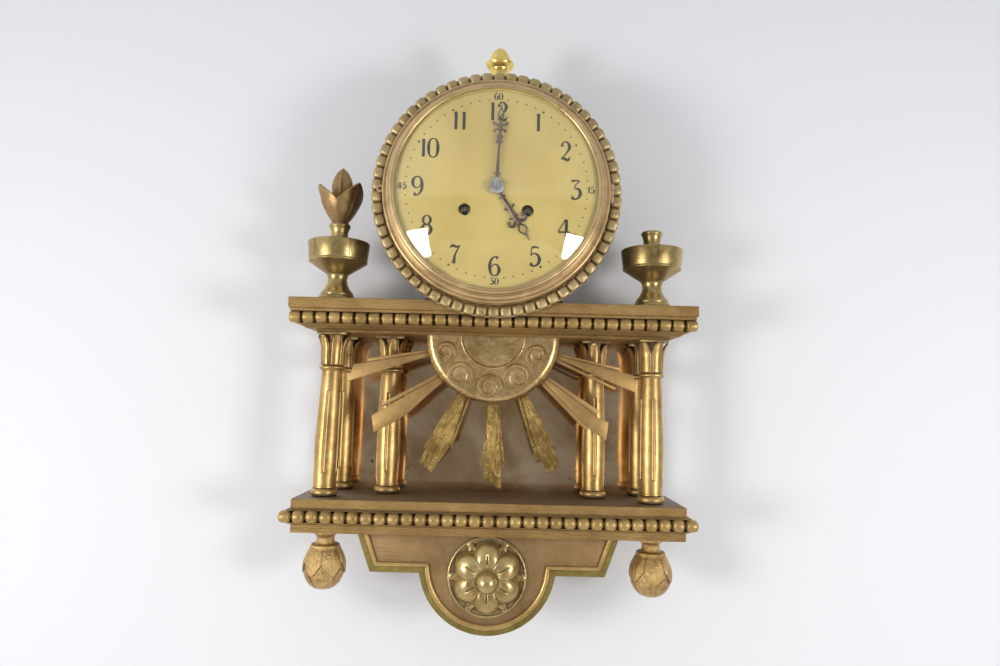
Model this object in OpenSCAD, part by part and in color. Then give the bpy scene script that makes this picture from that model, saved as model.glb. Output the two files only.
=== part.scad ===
// Wall clock in the form of a small portico: a beaded cornice and shelf joined by
// columns in front of a mirror, with a round clock head standing on the cornice.
// X runs to the right, Z up. The wall is the plane y = 0 and the clock stands out
// of it towards -Y. The origin is the centre of the hanging hole, on the wall.

/* [Heights] */
// Hanging hole above the centre of the dial
hanger_rise = 72; // [60:1:76]
// Centre of the dial above the top of the cornice
dial_rise = 110.2; // [109:0.2:114]
// Height of the cornice
cornice_h = 33.3; // [31:0.1:40]
// Height of the columns, with base and capital
column_h = 169.7; // [160:0.1:200]
// Height of the lower shelf
shelf_h = 33.1; // [31:0.1:38]

/* [Widths and depths] */
// Half width of the cornice at its top band
cornice_half = 208.5; // [206:0.5:225]
// Half width of the lower shelf at its top band
shelf_half = 198; // [196:0.5:214]
// Half width of the board behind the mirror
board_half = 181; // [179:0.5:192]
// Thickness of the board
board_t = 14; // [13:0.5:20]
// Thickness of the mirror glass
mirror_t = 4; // [3:0.5:6]
// Distance from the wall to the front of the cornice
cornice_depth = 116.5; // [114:0.5:117]
// Distance from the wall to the front of the shelf top
shelf_depth = 108.2; // [104:0.2:112]

/* [Bead mouldings] */
// Diameter of the straight rows' beads
row_bead_d = 11; // [8:0.2:12]
// Length of a straight row's bead
row_bead_l = 10.4; // [8:0.2:12]
// Spacing wanted between the beads of the straight rows
row_bead_pitch = 13.43; // [12.5:0.01:16]
// Number of beads round the head
ring_beads = 62; // [40:1:66]
// Diameter of the head's beads
ring_bead_d = 8.6; // [6:0.2:9]
// Length of a bead of the head
ring_bead_l = 10.6; // [8:0.2:11]

/* [Columns] */
// Distance of the outer columns from the middle
outer_x = 168; // [164:0.5:174]
// Distance of the inner columns from the middle
inner_x = 112; // [100:0.5:118]
// Distance from the wall to the axis of the outer columns
outer_depth = 79.5; // [74:0.5:84]
// Distance from the wall to the axis of the inner columns
inner_depth = 45.5; // [42:0.5:50]
// Largest radius of the shaft, in its lower third
shaft_r = 12.6; // [11:0.1:13.2]
// Radius of the shaft at its neck
neck_r = 9.9; // [8.5:0.1:11]
// Radius of the column base
base_r = 15; // [14:0.1:16.5]
// Half width of the square plate on a capital
abacus_half = 17.5; // [16:0.1:18.5]
// Number of flutes round a shaft
flutes = 6; // [4:1:12]
// Width of a flute
flute_w = 3.6; // [2:0.1:5]
// Number of leaves round a capital
cap_leaves = 8; // [6:1:10]

/* [Sun] */
// Radius of the half disc
sun_r = 69; // [60:1:74]
// Distance from the wall to the back of the sun
sun_depth = 80; // [78:0.5:84]
// Thickness of the half disc
sun_t = 9; // [7:0.5:10]
// Reach of the rays from the middle of the disc
ray_reach = 163; // [130:1:165]

/* [Apron and hanging ornaments] */
// Half width of the apron at its top
apron_half = 132; // [124:1:140]
// Distance from the wall to the face of the apron
apron_depth = 100; // [96:0.5:104]
// Thickness of the apron
apron_t = 12; // [8:0.5:14]
// Radius of the apron's round drop
drop_r = 69; // [60:1:74]
// Radius of the rosette
rosette_r = 40; // [34:0.5:44]
// How far the rosette stands out
rosette_rise = 26; // [18:0.5:28]
// Radius of a hanging bud
pendant_r = 21.8; // [18:0.1:24]
// Length of a hanging bud
pendant_h = 61.5; // [52:0.5:70]

/* [Urns and finial] */
// Height of an urn
urn_h = 84; // [76:0.5:92]
// Radius of an urn's upper drum
urn_r = 33; // [28:0.5:36]
// Height of the flower above the urn, at its tall back petal
flower_h = 60; // [50:1:70]
// Height of the flower's side petals
side_petal_h = 42; // [34:1:48]
// Distance of the side petals' tips from the stalk
petal_out = 27.5; // [22:0.5:30]
// Height of the finial above the drum
finial_h = 64; // [56:0.5:70]
// Distance from the wall to the axis of the finial
finial_depth = 88; // [60:1:96]

/* [Head] */
// Outer radius of the drum
drum_r = 108; // [107:0.2:109]
// Wall of the drum
drum_wall = 2.5; // [1.5:0.1:3]
// Outer radius of the beaded frame
frame_r = 127.5; // [127:0.1:130]
// Outer radius of the door
door_r = 114.4; // [113.5:0.1:114.6]
// Radius of the opening in the door
sight_r = 101.6; // [98:0.1:101.8]
// Distance from the wall to the face of the dial
dial_depth = 141; // [140.6:0.1:141.4]
// Thickness of the dial plate
dial_t = 1.4; // [1:0.1:1.6]
// How far the glass rises in front of its rim
glass_rise = 22; // [21:0.5:26]
// Thickness of the glass
glass_t = 1.8; // [1.5:0.1:2.2]
// Radius of the hinge pin
hinge_pin_r = 1; // [0.8:0.05:1.1]

/* [Movement] */
// Radius of the movement plates
plate_r = 68; // [68:0.5:72]
// Thickness of the movement plates
plate_t = 2.5; // [2:0.1:3]
// Distance between the movement plates
plate_gap = 35.5; // [34:0.5:38]
// Sideways distance of a winding square from the middle
wind_x = 31.2; // [30.6:0.1:32]
// Winding squares below the centre of the dial
wind_drop = 22.5; // [21:0.5:24]
// Radius of a spring barrel
barrel_r = 25; // [22:0.5:26]
// Radial clearance of a turning arbor in its hole
run_gap = 0.05; // [0.03:0.01:0.08]
// Gap between pieces that pass each other
free_gap = 0.3; // [0.25:0.05:0.4]
// Length of the minute hand
minute_hand_l = 90; // [80:1:92]
// Length of the hour hand
hour_hand_l = 62; // [54:1:66]
// Length of the pendulum from its suspension to the middle of its bob
pendulum_l = 126; // [110:1:130]

/* [Hidden] */

$fn = 64;

gilt = [0.69, 0.55, 0.30];
old_gilt = [0.60, 0.47, 0.25];
bronze_gilt = [0.55, 0.46, 0.22];
brass = [0.80, 0.66, 0.36];
steel = [0.62, 0.63, 0.65];
blued = [0.20, 0.13, 0.16];
dark_wood = [0.20, 0.14, 0.10];

dial_z = -hanger_rise;
cornice_top = dial_z - dial_rise;
cornice_under = cornice_top - cornice_h;
shelf_top = cornice_under - column_h;
shelf_under = shelf_top - shelf_h;
board_face = board_t;
mirror_face = board_face + mirror_t;

// Bead rows: how far a row's middle line lies in from the outer face of the
// moulding, or out from it, and how far it lies below the moulding's top
cornice_bead_in = 6.3;
cornice_bead_drop = 19.8;
shelf_bead_out = 4;
shelf_bead_drop = 16.8;

// Back of the head
hanger_half = 18;
hanger_t = 2;
hanger_low = 28;
hanger_high = 14;
hanger_hole_r = 4.5;
nail_room_r = 9;
tongue_half = 55;
tongue_top = 22;
saddle_half = 70;
back_t = 3;

// Apron and rosette, measured down from the underside of the shelf
drop_drop = 28.7;
rosette_drop = rosette_r - 0.5 + free_gap;
// Top of a hanging bud's swelling, below its turned cap
bud_top = 20;

// Rays, which start behind the half disc
ray_root = 46;
ray_t = 4.6;
ray_root_half = 3.4;
ray_tip_half = 8.4;
ray_slant = 10;
reed_root_w = 1.6;
reed_w = 3.2;

// Places round the head, as distances from the wall
frame_back = cornice_depth + 0.5;
frame_plate = 3;
seat_front = frame_back + 10;
ledge_front = seat_front - 2;
door_back = seat_front + free_gap;
mount_t = 3;
plate_front_back = ledge_front + mount_t;
plate_front_face = plate_front_back + plate_t;
plate_back_face = plate_front_back - plate_gap;
plate_back_back = plate_back_face - plate_t;
drum_inner = drum_r - drum_wall;
ledge_in = 98;
seat_in = 104;
seat_out = 115.4;
ring_row_r = 121.4;
ring_row_depth = frame_back + frame_plate + 2.6;
hinge_x = door_r + 1.9;
hinge_depth = door_back + 3.6;
knuckle_r = 2.3;
knuckle_l = 6;
catch_reach = door_r + 7.2;
catch_half = 3.8;
catch_t = 2.4;
glass_edge = dial_depth + 1;
glass_seat_r = sight_r + 2.6;
lip_back = glass_edge + glass_t;
lip_front = lip_back + 1.6;

// Wheels and arbors of the movement, seen from the front, from the dial's centre
arbor_r = 1.5;
great_teeth = 72;
centre_leaves = 12;
great_distance = sqrt(wind_x * wind_x + wind_drop * wind_drop);
great_mod = 2 * great_distance / (great_teeth + centre_leaves);
wheel_teeth = 72;
small_leaves = 6;
centre_mod = 0.5;
third_mod = 0.4;
centre_to_third = centre_mod * (wheel_teeth + small_leaves) / 2;
third_to_escape = third_mod * (wheel_teeth + small_leaves) / 2;
third_angle = 100;
third_x = centre_to_third * cos(third_angle);
third_z = centre_to_third * sin(third_angle);
escape_z = third_z + sqrt(third_to_escape * third_to_escape - third_x * third_x);
escape_teeth = 36;
escape_r = 11.5;
anchor_z = escape_z + 15;
suspension_z = anchor_z + 8;
pin_wheel_angle = 103;
pin_wheel_x = -wind_x + great_distance * cos(pin_wheel_angle);
pin_wheel_z = -wind_drop + great_distance * sin(pin_wheel_angle);
cannon_leaves = 12;
minute_teeth = 36;
minute_leaves = 10;
hour_teeth = 40;
motion_distance = 14.4;
motion_angle = 200;
motion_x = motion_distance * cos(motion_angle);
motion_z = motion_distance * sin(motion_angle);
cannon_mod = 2 * motion_distance / (cannon_leaves + minute_teeth);
hour_mod = 2 * motion_distance / (minute_leaves + hour_teeth);
cannon_r = 2.7;
hour_pipe_r = 3.9;
dial_hole_r = hour_pipe_r + 0.5;
dial_foot_r = 60;
motion_back = plate_front_face + 0.6;
cannon_leaf_t = 3;
hour_back = motion_back + 3.6;
hour_wheel_t = 1.6;
hand_t = 1;
hour_hand_depth = dial_depth + 1.6;
minute_hand_depth = hour_hand_depth + hand_t + 0.8;
cannon_front = minute_hand_depth + hand_t;
nut_r = 7.2;
nut_t = 5.4;
hour_hand_angle = 147;
minute_hand_angle = 1;
great_t = 2;
barrel_back = plate_back_face + 6;
barrel_front = plate_front_back - 10;
going_wheel_back = barrel_back - great_t;
strike_wheel_back = barrel_front;
centre_wheel_back = plate_front_back - 6.5;
third_wheel_back = plate_back_face + 17;
escape_wheel_back = plate_back_face + 2.5;
wheel_t = 1.4;
small_r = 0.7;
anchor_r = 1.2;
stud_r = 1.2;
wind_r = 3;
wind_hole_r = 6.1;
pillar_spots = [[0, -61.5], [-58, 20], [58, 20], [-28, 54], [28, 54]];
ring_hold = 2.5;
pillar_r = 3.6;
pendulum_depth = plate_back_back - 10;
rod_r = 1.5;
bob_r = 20;
bob_t = 8;
fork_t = 4;
crutch_l = anchor_z - 4;
hammer_x = -52;
hammer_z = -14;
bell_r = 36;
bell_t = 1.8;
bell_depth = 40;
post_r = 2.5;
hammer_depth = bell_depth + bell_r - 16;

// Draws its children as seen from the front, rising towards the viewer from a
// distance d in front of the wall, with their origin at x, z
module face(d, x = 0, z = 0) {
    translate([x, -d, z])
        rotate([90, 0, 0])
            children();
}

// The same about the centre of the dial
module on_dial(d, x = 0, z = 0) {
    face(d, x, dial_z + z)
        children();
}

// A round bar along the depth, placed from the centre of the dial
module bar(d, l, r, x = 0, z = 0) {
    on_dial(d, x, z)
        cylinder(r = r, h = l);
}

// Points of a toothed wheel's outline with a tooth centred on the direction turn
function tooth_points(teeth, m, turn) = [
    for (i = [0 : teeth - 1])
        for (p = [[-0.31, -1.15], [-0.19, -0.05], [-0.08, 0.75],
                  [0.08, 0.75], [0.19, -0.05], [0.31, -1.15]])
            let (a = turn + (i + p[0]) * 360 / teeth, r = teeth * m / 2 + p[1] * m)
                [r * cos(a), r * sin(a)]
];

module pinion(teeth, m, l, turn = 0) {
    linear_extrude(l)
        polygon(tooth_points(teeth, m, turn));
}

// A crossed-out wheel: toothed rim, hub and arms
module crossed_wheel(teeth, m, t, hub, arms, turn = 0) {
    rim = teeth * m / 2 - 3 * m;
    difference() {
        pinion(teeth, m, t, turn);
        for (i = [0 : arms - 1])
            rotate(i * 360 / arms)
                translate([0, 0, -1])
                    linear_extrude(t + 2)
                        difference() {
                            polygon([[1.2, 0.7], [rim * 1.5, 0.7],
                                     [rim * 1.5 * cos(360 / arms), rim * 1.5 * sin(360 / arms)],
                                     [1.2 * cos(360 / arms) + 0.7, 1.2 * sin(360 / arms)]]);
                            circle(r = hub);
                            difference() {
                                circle(r = rim * 3);
                                circle(r = rim);
                            }
                        }
    }
}

// A bead with its axis along X: a barrel swelling from its flat ends
module bead(l, d) {
    end_r = d * 0.3;
    rise = d / 2 - end_r;
    bulge = (l * l / 4 + rise * rise) / (2 * rise);
    rotate([0, 90, 0])
        rotate_extrude($fn = 24)
            intersection() {
                translate([d / 2 - bulge, 0])
                    circle(r = bulge, $fn = 96);
                translate([0, -l / 2])
                    square([d / 2, l]);
            }
}

// A row of beads on its wire, round the front and both sides of a moulding
module bead_row(half, depth, z) {
    front_n = round(2 * half / row_bead_pitch);
    front_step = 2 * half / front_n;
    side_n = floor((depth - board_face - row_bead_l / 2) / row_bead_pitch);
    wire_r = row_bead_d * 0.22;
    for (i = [0 : front_n])
        translate([-half + i * front_step, -depth, z])
            bead(row_bead_l, row_bead_d);
    translate([-half, -depth, z])
        rotate([0, 90, 0])
            cylinder(r = wire_r, h = 2 * half, $fn = 24);
    for (s = [-1, 1]) {
        for (i = [1 : side_n])
            translate([s * half, -depth + i * row_bead_pitch, z])
                rotate([0, 0, 90])
                    bead(row_bead_l, row_bead_d);
        translate([s * half, -depth, z])
            rotate([-90, 0, 0])
                cylinder(r = wire_r, h = side_n * row_bead_pitch, $fn = 24);
    }
}

// A moulding round three sides of a box, mitred at the corners. The profile runs
// from its top to its underside: x goes in from the outer face, y is the height.
module three_sided(profile, half, depth) {
    n = len(profile) - 1;
    intersection() {
        translate([-half - 20, 0, 0])
            rotate([90, 0, 90])
                linear_extrude(2 * half + 40)
                    translate([-depth, 0])
                        polygon(concat(profile, [[depth, profile[n][1]],
                                                 [depth, profile[0][1]]]));
        face(board_face)
            linear_extrude(depth)
                polygon(concat([for (p = profile) [p[0] - half, p[1]]],
                               [for (i = [n : -1 : 0]) [half - profile[i][0], profile[i][1]]]));
    }
}

// Smooth curve through profile points, with steps pieces between each two
function blend4(a, b, c, d, t) =
    0.5 * (2 * b + (c - a) * t + (2 * a - 5 * b + 4 * c - d) * t * t
           + (3 * b - a - 3 * c + d) * t * t * t);
function smooth(p, steps) = [
    for (i = [0 : len(p) - 2])
        for (k = [0 : steps - 1])
            blend4(p[max(i - 1, 0)], p[i], p[i + 1], p[min(i + 2, len(p) - 1)], k / steps),
    p[len(p) - 1]
];

// A pointed leaf, standing on its base
module leaf(w, h) {
    r = (h * h + w * w / 4) / w;
    intersection() {
        translate([w / 2 - r, 0])
            circle(r = r);
        translate([r - w / 2, 0])
            circle(r = r);
        translate([-w / 2, 0])
            square([w, h]);
    }
}

// Leaves standing round a turned body: the child profile is the leaves' thickness
module leaf_ring(count, w, h, z, reach) {
    intersection() {
        rotate_extrude()
            children();
        for (i = [0 : count - 1])
            rotate([0, 0, (i + 0.5) * 360 / count])
                translate([0, 0, z])
                    rotate([90, 0, 90])
                        linear_extrude(reach)
                            leaf(w, h);
    }
}

module backboard() {
    color(dark_wood)
        translate([-board_half, -board_t, shelf_under])
            cube([2 * board_half, board_t, cornice_top - shelf_under]);
}

// The narrower board that rises behind the head and hangs on the wall
module back_tongue() {
    color(dark_wood)
        difference() {
            union() {
                translate([-tongue_half, -board_t, cornice_top])
                    cube([2 * tongue_half, board_t, tongue_top - tongue_half - cornice_top]);
                face(0, 0, tongue_top - tongue_half)
                    cylinder(r = tongue_half, h = board_t);
            }
            translate([-hanger_half, -hanger_t, -hanger_low])
                cube([2 * hanger_half, hanger_t + 1, hanger_low + hanger_high]);
            face(-1)
                cylinder(r = nail_room_r, h = board_t - 2);
        }
}

module hanger_plate() {
    color(brass)
        difference() {
            translate([-hanger_half, -hanger_t, -hanger_low])
                cube([2 * hanger_half, hanger_t, hanger_low + hanger_high]);
            face(-1)
                cylinder(r = hanger_hole_r, h = hanger_t + 2);
            for (s = [-1, 1])
                face(-1, s * 11, -20)
                    cylinder(r = 1.8, h = hanger_t + 2);
        }
}

module mirror_glass() {
    color([0.62, 0.58, 0.57])
        translate([-board_half + 3, -mirror_face, shelf_top])
            cube([2 * board_half - 6, mirror_t, column_h]);
}

module cornice() {
    bead_up = -cornice_bead_drop + row_bead_d / 2 + free_gap;
    bead_down = -cornice_bead_drop - row_bead_d / 2 - free_gap;
    channel = cornice_bead_in + row_bead_d / 2 + free_gap;
    color(gilt)
        translate([0, 0, cornice_top])
            three_sided([[0, 0], [0, -10.4], [1.8, -11.6], [1.8, bead_up], [channel, bead_up],
                         [channel, bead_down], [8.6, bead_down], [8.6, bead_down - 0.8],
                         [13.6, 4.6 - cornice_h], [15, 3.2 - cornice_h],
                         [22.5, 2.6 - cornice_h], [24, -cornice_h]],
                        cornice_half, cornice_depth);
}

module cornice_beads() {
    color(gilt)
        bead_row(cornice_half - cornice_bead_in, cornice_depth - cornice_bead_in,
                 cornice_top - cornice_bead_drop);
}

module lower_shelf() {
    bead_up = -shelf_bead_drop + row_bead_d / 2 + free_gap;
    bead_down = -shelf_bead_drop - row_bead_d / 2 - free_gap;
    channel = row_bead_d / 2 + free_gap - shelf_bead_out;
    color(gilt)
        translate([0, 0, shelf_top])
            three_sided([[0, 0], [0, bead_up + 3], [-1.2, bead_up + 1.5], [-3.6, bead_up + 0.6],
                         [-3.6, bead_up], [channel, bead_up], [channel, bead_down],
                         [-3, bead_down], [-3, bead_down - 0.9], [0.6, bead_down - 2.4],
                         [0.6, -shelf_h]],
                        shelf_half, shelf_depth);
}

module shelf_beads() {
    color(gilt)
        bead_row(shelf_half + shelf_bead_out, shelf_depth + shelf_bead_out,
                 shelf_top - shelf_bead_drop);
}

// Outline of the apron, drawn smaller by an inset
module apron_outline(inset) {
    step_z = 38.2;
    polygon([[-apron_half + inset, 0], [apron_half - inset, 0],
             [apron_half - 14 - inset, inset - step_z],
             [-apron_half + 14 + inset, inset - step_z]]);
    intersection() {
        translate([0, -drop_drop])
            circle(r = drop_r - inset, $fn = 96);
        translate([-drop_r, -drop_drop - drop_r])
            square([2 * drop_r, drop_drop + drop_r]);
    }
}

module apron() {
    color(gilt)
        face(apron_depth - apron_t, 0, shelf_under) {
            linear_extrude(apron_t)
                apron_outline(0);
            translate([0, 0, apron_t - 0.5])
                linear_extrude(3)
                    difference() {
                        apron_outline(0.8);
                        intersection() {
                            apron_outline(5.6);
                            translate([-apron_half, -200])
                                square([2 * apron_half, 194.4]);
                        }
                    }
        }
}

// One lobe of the rosette, pointing up from its middle
module lobe(r) {
    circle_r = r * 0.36;
    translate([0, r - circle_r])
        circle(r = circle_r);
    polygon([[-3, 6], [3, 6], [circle_r * 0.96, r - circle_r * 1.2],
             [-circle_r * 0.96, r - circle_r * 1.2]]);
}

module rosette() {
    color(bronze_gilt)
        face(apron_depth, 0, shelf_under - rosette_drop)
            union() {
                rotate_extrude() {
                    square([rosette_r - 2, 3]);
                    translate([rosette_r - 3.5, 3])
                        circle(r = 3, $fn = 32);
                    translate([0, 3])
                        square([12, rosette_rise - 10]);
                }
                intersection() {
                    rotate_extrude()
                        polygon(smooth([[0, 1], [rosette_r - 3, 1], [rosette_r - 3, 8],
                                        [rosette_r * 0.72, 15], [rosette_r * 0.45, 12],
                                        [rosette_r * 0.25, 8], [0, 8]], 3));
                    for (i = [0 : 4])
                        rotate(i * 72)
                            linear_extrude(20)
                                difference() {
                                    lobe(rosette_r - 4);
                                    translate([-0.5, rosette_r * 0.4])
                                        square([1, rosette_r]);
                                }
                }
                for (i = [0 : 4])
                    rotate(i * 72 + 36)
                        translate([0, rosette_r * 0.42, 0])
                            linear_extrude(9)
                                leaf(10, rosette_r * 0.5);
                translate([0, 0, rosette_rise - 11])
                    sphere(r = 11);
            }
}

// Radius of the shaft at a share t of its height, with its swelling
function shaft_at(t) =
    shaft_r - (shaft_r - neck_r) * pow(max(0, (t - 0.3) / 0.7), 1.5)
    - 0.9 * pow(max(0, (0.3 - t) / 0.3), 2);

// A fluted column with its leafy capital, standing on the origin
module column_solid() {
    base_top = 12;
    neck_z = column_h - 39.4;
    shaft_l = neck_z - base_top;
    bell_z = neck_z + 5.6;
    plate_z = column_h - 4.4;
    flute_0 = base_top + 14;
    flute_1 = neck_z - 23;
    r0 = shaft_at((flute_0 - base_top) / shaft_l);
    r1 = shaft_at((flute_1 - base_top) / shaft_l);
    lean = atan((r0 - r1) / (flute_1 - flute_0));
    flute_r = flute_w / 2;
    difference() {
        rotate_extrude() {
            polygon(concat([[0, 0], [base_r - 0.8, 0], [base_r - 0.8, 1.4], [base_r - 2, 2],
                            [base_r - 2, 9.4], [shaft_r + 0.6, 9.4], [shaft_r + 0.6, 11]],
                           [for (i = [0 : 8]) [shaft_at(i / 8), base_top + shaft_l * i / 8]],
                           [[neck_r + 1.4, neck_z], [neck_r + 1.4, bell_z],
                            [neck_r + 0.6, bell_z + 1], [neck_r + 0.4, plate_z - 18],
                            [neck_r + 1.6, plate_z - 9], [neck_r + 4.6, plate_z - 2.4],
                            [neck_r + 4.6, plate_z], [0, plate_z]]));
            translate([base_r - 3.6, 5.6])
                circle(r = 3.6, $fn = 32);
            translate([neck_r + 1.4, neck_z + 2.6])
                circle(r = 2, $fn = 32);
        }
        for (i = [0 : flutes - 1])
            rotate([0, 0, (i + 0.5) * 360 / flutes])
                translate([r0 + flute_r * 0.42, 0, flute_0])
                    rotate([0, -lean, 0]) {
                        cylinder(r = flute_r, h = flute_1 - flute_0, $fn = 24);
                        sphere(r = flute_r, $fn = 24);
                        translate([0, 0, flute_1 - flute_0])
                            sphere(r = flute_r, $fn = 24);
                    }
    }
    leaf_ring(cap_leaves, 10.4, plate_z - bell_z - 1.5, bell_z + 0.4, 30)
        polygon(smooth([[neck_r, bell_z], [neck_r + 2.1, bell_z], [neck_r + 2.2, plate_z - 18],
                        [neck_r + 3.6, plate_z - 9], [neck_r + 6.4, plate_z - 2.2],
                        [neck_r + 5.6, plate_z - 0.8], [neck_r + 4, plate_z - 1.6],
                        [neck_r, plate_z - 12]], 3));
    translate([0, 0, plate_z])
        linear_extrude(4.4)
            difference() {
                square(2 * abacus_half, center = true);
                for (i = [0 : 3])
                    rotate(i * 90)
                        translate([abacus_half + 34.6, 0])
                            circle(r = 36, $fn = 96);
            }
}

module column(x, depth) {
    color(gilt)
        translate([x, -depth, shelf_top])
            column_solid();
}

module half_column(x) {
    color(gilt)
        translate([x, -mirror_face, shelf_top])
            intersection() {
                column_solid();
                translate([-30, -60, -1])
                    cube([60, 60, column_h + 2]);
            }
}

// A spiral ridge of one and a half turns on the sun
module scroll(r) {
    turns = 1.5;
    n = 30;
    inner = [for (i = [0 : n]) (r - 1.7) * (1 - 0.62 * i / n)];
    polygon(concat(
        [for (i = [0 : n]) let (a = 360 * turns * i / n, q = inner[i] + 1.7 * (1 - 0.45 * i / n))
            [q * cos(a), q * sin(a)]],
        [for (i = [n : -1 : 0]) let (a = 360 * turns * i / n)
            [inner[i] * cos(a), inner[i] * sin(a)]]));
}

module sun_disc() {
    scrolls = [[19, 48.5, 8.8], [55, 53, 12.6], [90, 53.6, 11.6], [125, 53, 12.6],
               [161, 48.5, 8.8]];
    color(gilt)
        face(sun_depth, 0, cornice_under)
            intersection() {
                union() {
                    rotate_extrude($fn = 96) {
                        square([sun_r - 2, sun_t - 3]);
                        translate([sun_r - 4, 4])
                            circle(r = 4, $fn = 32);
                        square([sun_r - 4, 4]);
                        square([sun_r * 0.46, sun_t - 1]);
                    }
                    for (p = scrolls)
                        translate([p[1] * cos(p[0]), -p[1] * sin(p[0]), sun_t - 3.5])
                            rotate(-p[0] - 120)
                                linear_extrude(2.3)
                                    scroll(p[2] * sun_r / 69);
                }
                translate([-sun_r - 1, -sun_r - 1, -1])
                    cube([2 * sun_r + 2, sun_r + 1, sun_t + 2]);
            }
}

// How far a line beside a ray's middle lies from it: the blade's own edge at place 0,
// and the outer edges of its reeds at places 1 and 2
function ray_edge(x, place) =
    let (t = (x - ray_root) / (ray_reach - ray_root))
        ray_root_half + (ray_tip_half - ray_root_half) * t
        + place * (reed_root_w + (reed_w - reed_root_w) * t);

// A ray, lying along +X from behind the disc: a broad blade that widens to an oblique
// end, with narrow reeds beside it. A reed is [side, place from the blade, how far
// short of the blade it ends].
module ray(reeds) {
    linear_extrude(ray_t)
        polygon([[ray_root, -ray_root_half], [ray_reach - ray_slant, -ray_tip_half],
                 [ray_reach, ray_tip_half], [ray_root, ray_root_half]]);
    for (r = reeds)
        let (end = ray_reach - r[2])
            mirror([0, r[0] < 0 ? 1 : 0, 0])
                for (strip = [[-0.1, 0.35], [0.15, 0.8]])
                    linear_extrude(ray_t * strip[1])
                        polygon([[ray_root, ray_edge(ray_root, r[1] + strip[0])],
                                 [end, ray_edge(end, r[1] + strip[0])],
                                 [end + 2, ray_edge(end + 2, r[1] + 1)],
                                 [ray_root, ray_edge(ray_root, r[1] + 1)]]);
}

// The rays stand in pairs left and right of the middle one. Each row: its direction
// below the horizon and its reeds.
module sun_rays() {
    rows = [[16.5, [[1, 0, 29]]],
            [38, [[1, 0, 21], [1, 1, 31]]],
            [66, [[1, 0, 19], [1, 1, 29], [-1, 0, 31]]]];
    color(old_gilt)
        face(sun_depth - ray_t, 0, cornice_under) {
            for (r = rows) {
                rotate(-r[0])
                    mirror([0, 1, 0])
                        ray(r[1]);
                rotate(r[0] - 180)
                    ray(r[1]);
            }
            rotate(-90)
                ray([[1, 0, 22], [-1, 0, 22]]);
        }
}

// The urn's outline, as shares of its drum's radius and of its height: foot, waist,
// cup, drum, shoulder, neck and collar
module urn_solid() {
    outline = concat(
        [[0, 0], [0.515, 0], [0.515, 0.067]],
        smooth([[0.527, 0.074], [0.594, 0.1], [0.597, 0.136], [0.527, 0.167], [0.436, 0.179]], 3),
        [[0.43, 0.198]],
        smooth([[0.412, 0.202], [0.355, 0.262], [0.345, 0.314], [0.4, 0.393], [0.576, 0.46],
                [0.921, 0.5]], 3),
        [[0.933, 0.517], [0.976, 0.521], [0.976, 0.552], [0.933, 0.56], [0.985, 0.572]],
        [[1, 0.73], [0.994, 0.742], [0.97, 0.752]],
        smooth([[0.91, 0.757], [0.606, 0.79], [0.333, 0.829], [0.267, 0.881], [0.285, 0.929],
                [0.342, 0.96]], 3),
        [[0.348, 0.969], [0.348, 0.995], [0.291, 1], [0, 1]]);
    rotate_extrude()
        polygon([for (p = outline) [p[0] * urn_r, p[1] * urn_h]]);
}

module urn(x) {
    color(bronze_gilt)
        translate([x, -outer_depth, cornice_top])
            urn_solid();
}

// A petal curved round the stalk, with a raised line down its middle. It starts at
// the collar, swells to a belly at half its height and ends in a point.
module petal(turn, h, belly, tip) {
    rows = 9;
    t_max = 1.6;
    root = 7.4;
    function out(t) = root * (1 - t) * (1 - 2 * t) + 4 * belly * t * (1 - t)
                      + tip * t * (2 * t - 1);
    function half_turn(t) = t < 0.5 ? 62 : 1 + 61 * (1 - pow(2 * t - 1, 1.7));
    rings = [for (i = [0 : rows])
        let (t = i / rows, a = half_turn(t) / 2)
            concat([for (j = [-2 : 2]) [out(t) + (j == 0 ? 0.7 : 0), j * a, h * t]],
                   [for (j = [2 : -1 : -2]) [out(t) - t_max * (1 - 0.4 * t), j * a, h * t]])];
    points = [for (r = rings) for (p = r) [p[0] * cos(p[1]), p[0] * sin(p[1]), p[2]]];
    sides = [for (i = [0 : rows - 1]) for (j = [0 : 9])
        let (a = i * 10 + j, b = i * 10 + (j + 1) % 10)
            each [[a, a + 10, b], [b, a + 10, b + 10]]];
    top = 10 * rows;
    ends = [for (j = [0 : 3])
        each [[j, j + 1, 8 - j], [j, 8 - j, 9 - j],
              [top + j, top + 8 - j, top + j + 1], [top + j, top + 9 - j, top + 8 - j]]];
    rotate([0, 0, turn])
        polyhedron(points, concat(sides, ends));
}

module urn_flower() {
    color(gilt)
        translate([-outer_x, -outer_depth, cornice_top + urn_h]) {
            cylinder(r = 8, h = 3);
            for (a = [210, 330])
                petal(a, side_petal_h, 17.6, petal_out);
            petal(90, flower_h, 16, 5);
            for (a = [150, 30])
                petal(a, side_petal_h * 0.9, 15, petal_out - 4);
        }
}

// A carved bud hanging from the shelf, its top at the origin. Pointed leaves hang
// over its shoulder, and others rise from its tip to meet them.
module pendant_solid() {
    steps = 14;
    rotate_extrude()
        polygon(concat([[0, 0], [11.6, 0], [11.6, -4], [13.4, -6], [13.4, -9.6], [15.6, -11],
                        [15.6, -17.6], [14.4, -19.4]],
                       [for (i = [0 : steps])
                           let (z = -bud_top - (pendant_h - bud_top) * i / steps)
                               [bud_at(z), z]]));
    for (i = [0 : 7]) {
        bud_leaf(45 * i, 12, -bud_top, -26, -34, -47);
        bud_leaf(45 * i + 22.5, 10, 1.6 - pendant_h, -54, -45, -33);
    }
}

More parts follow.
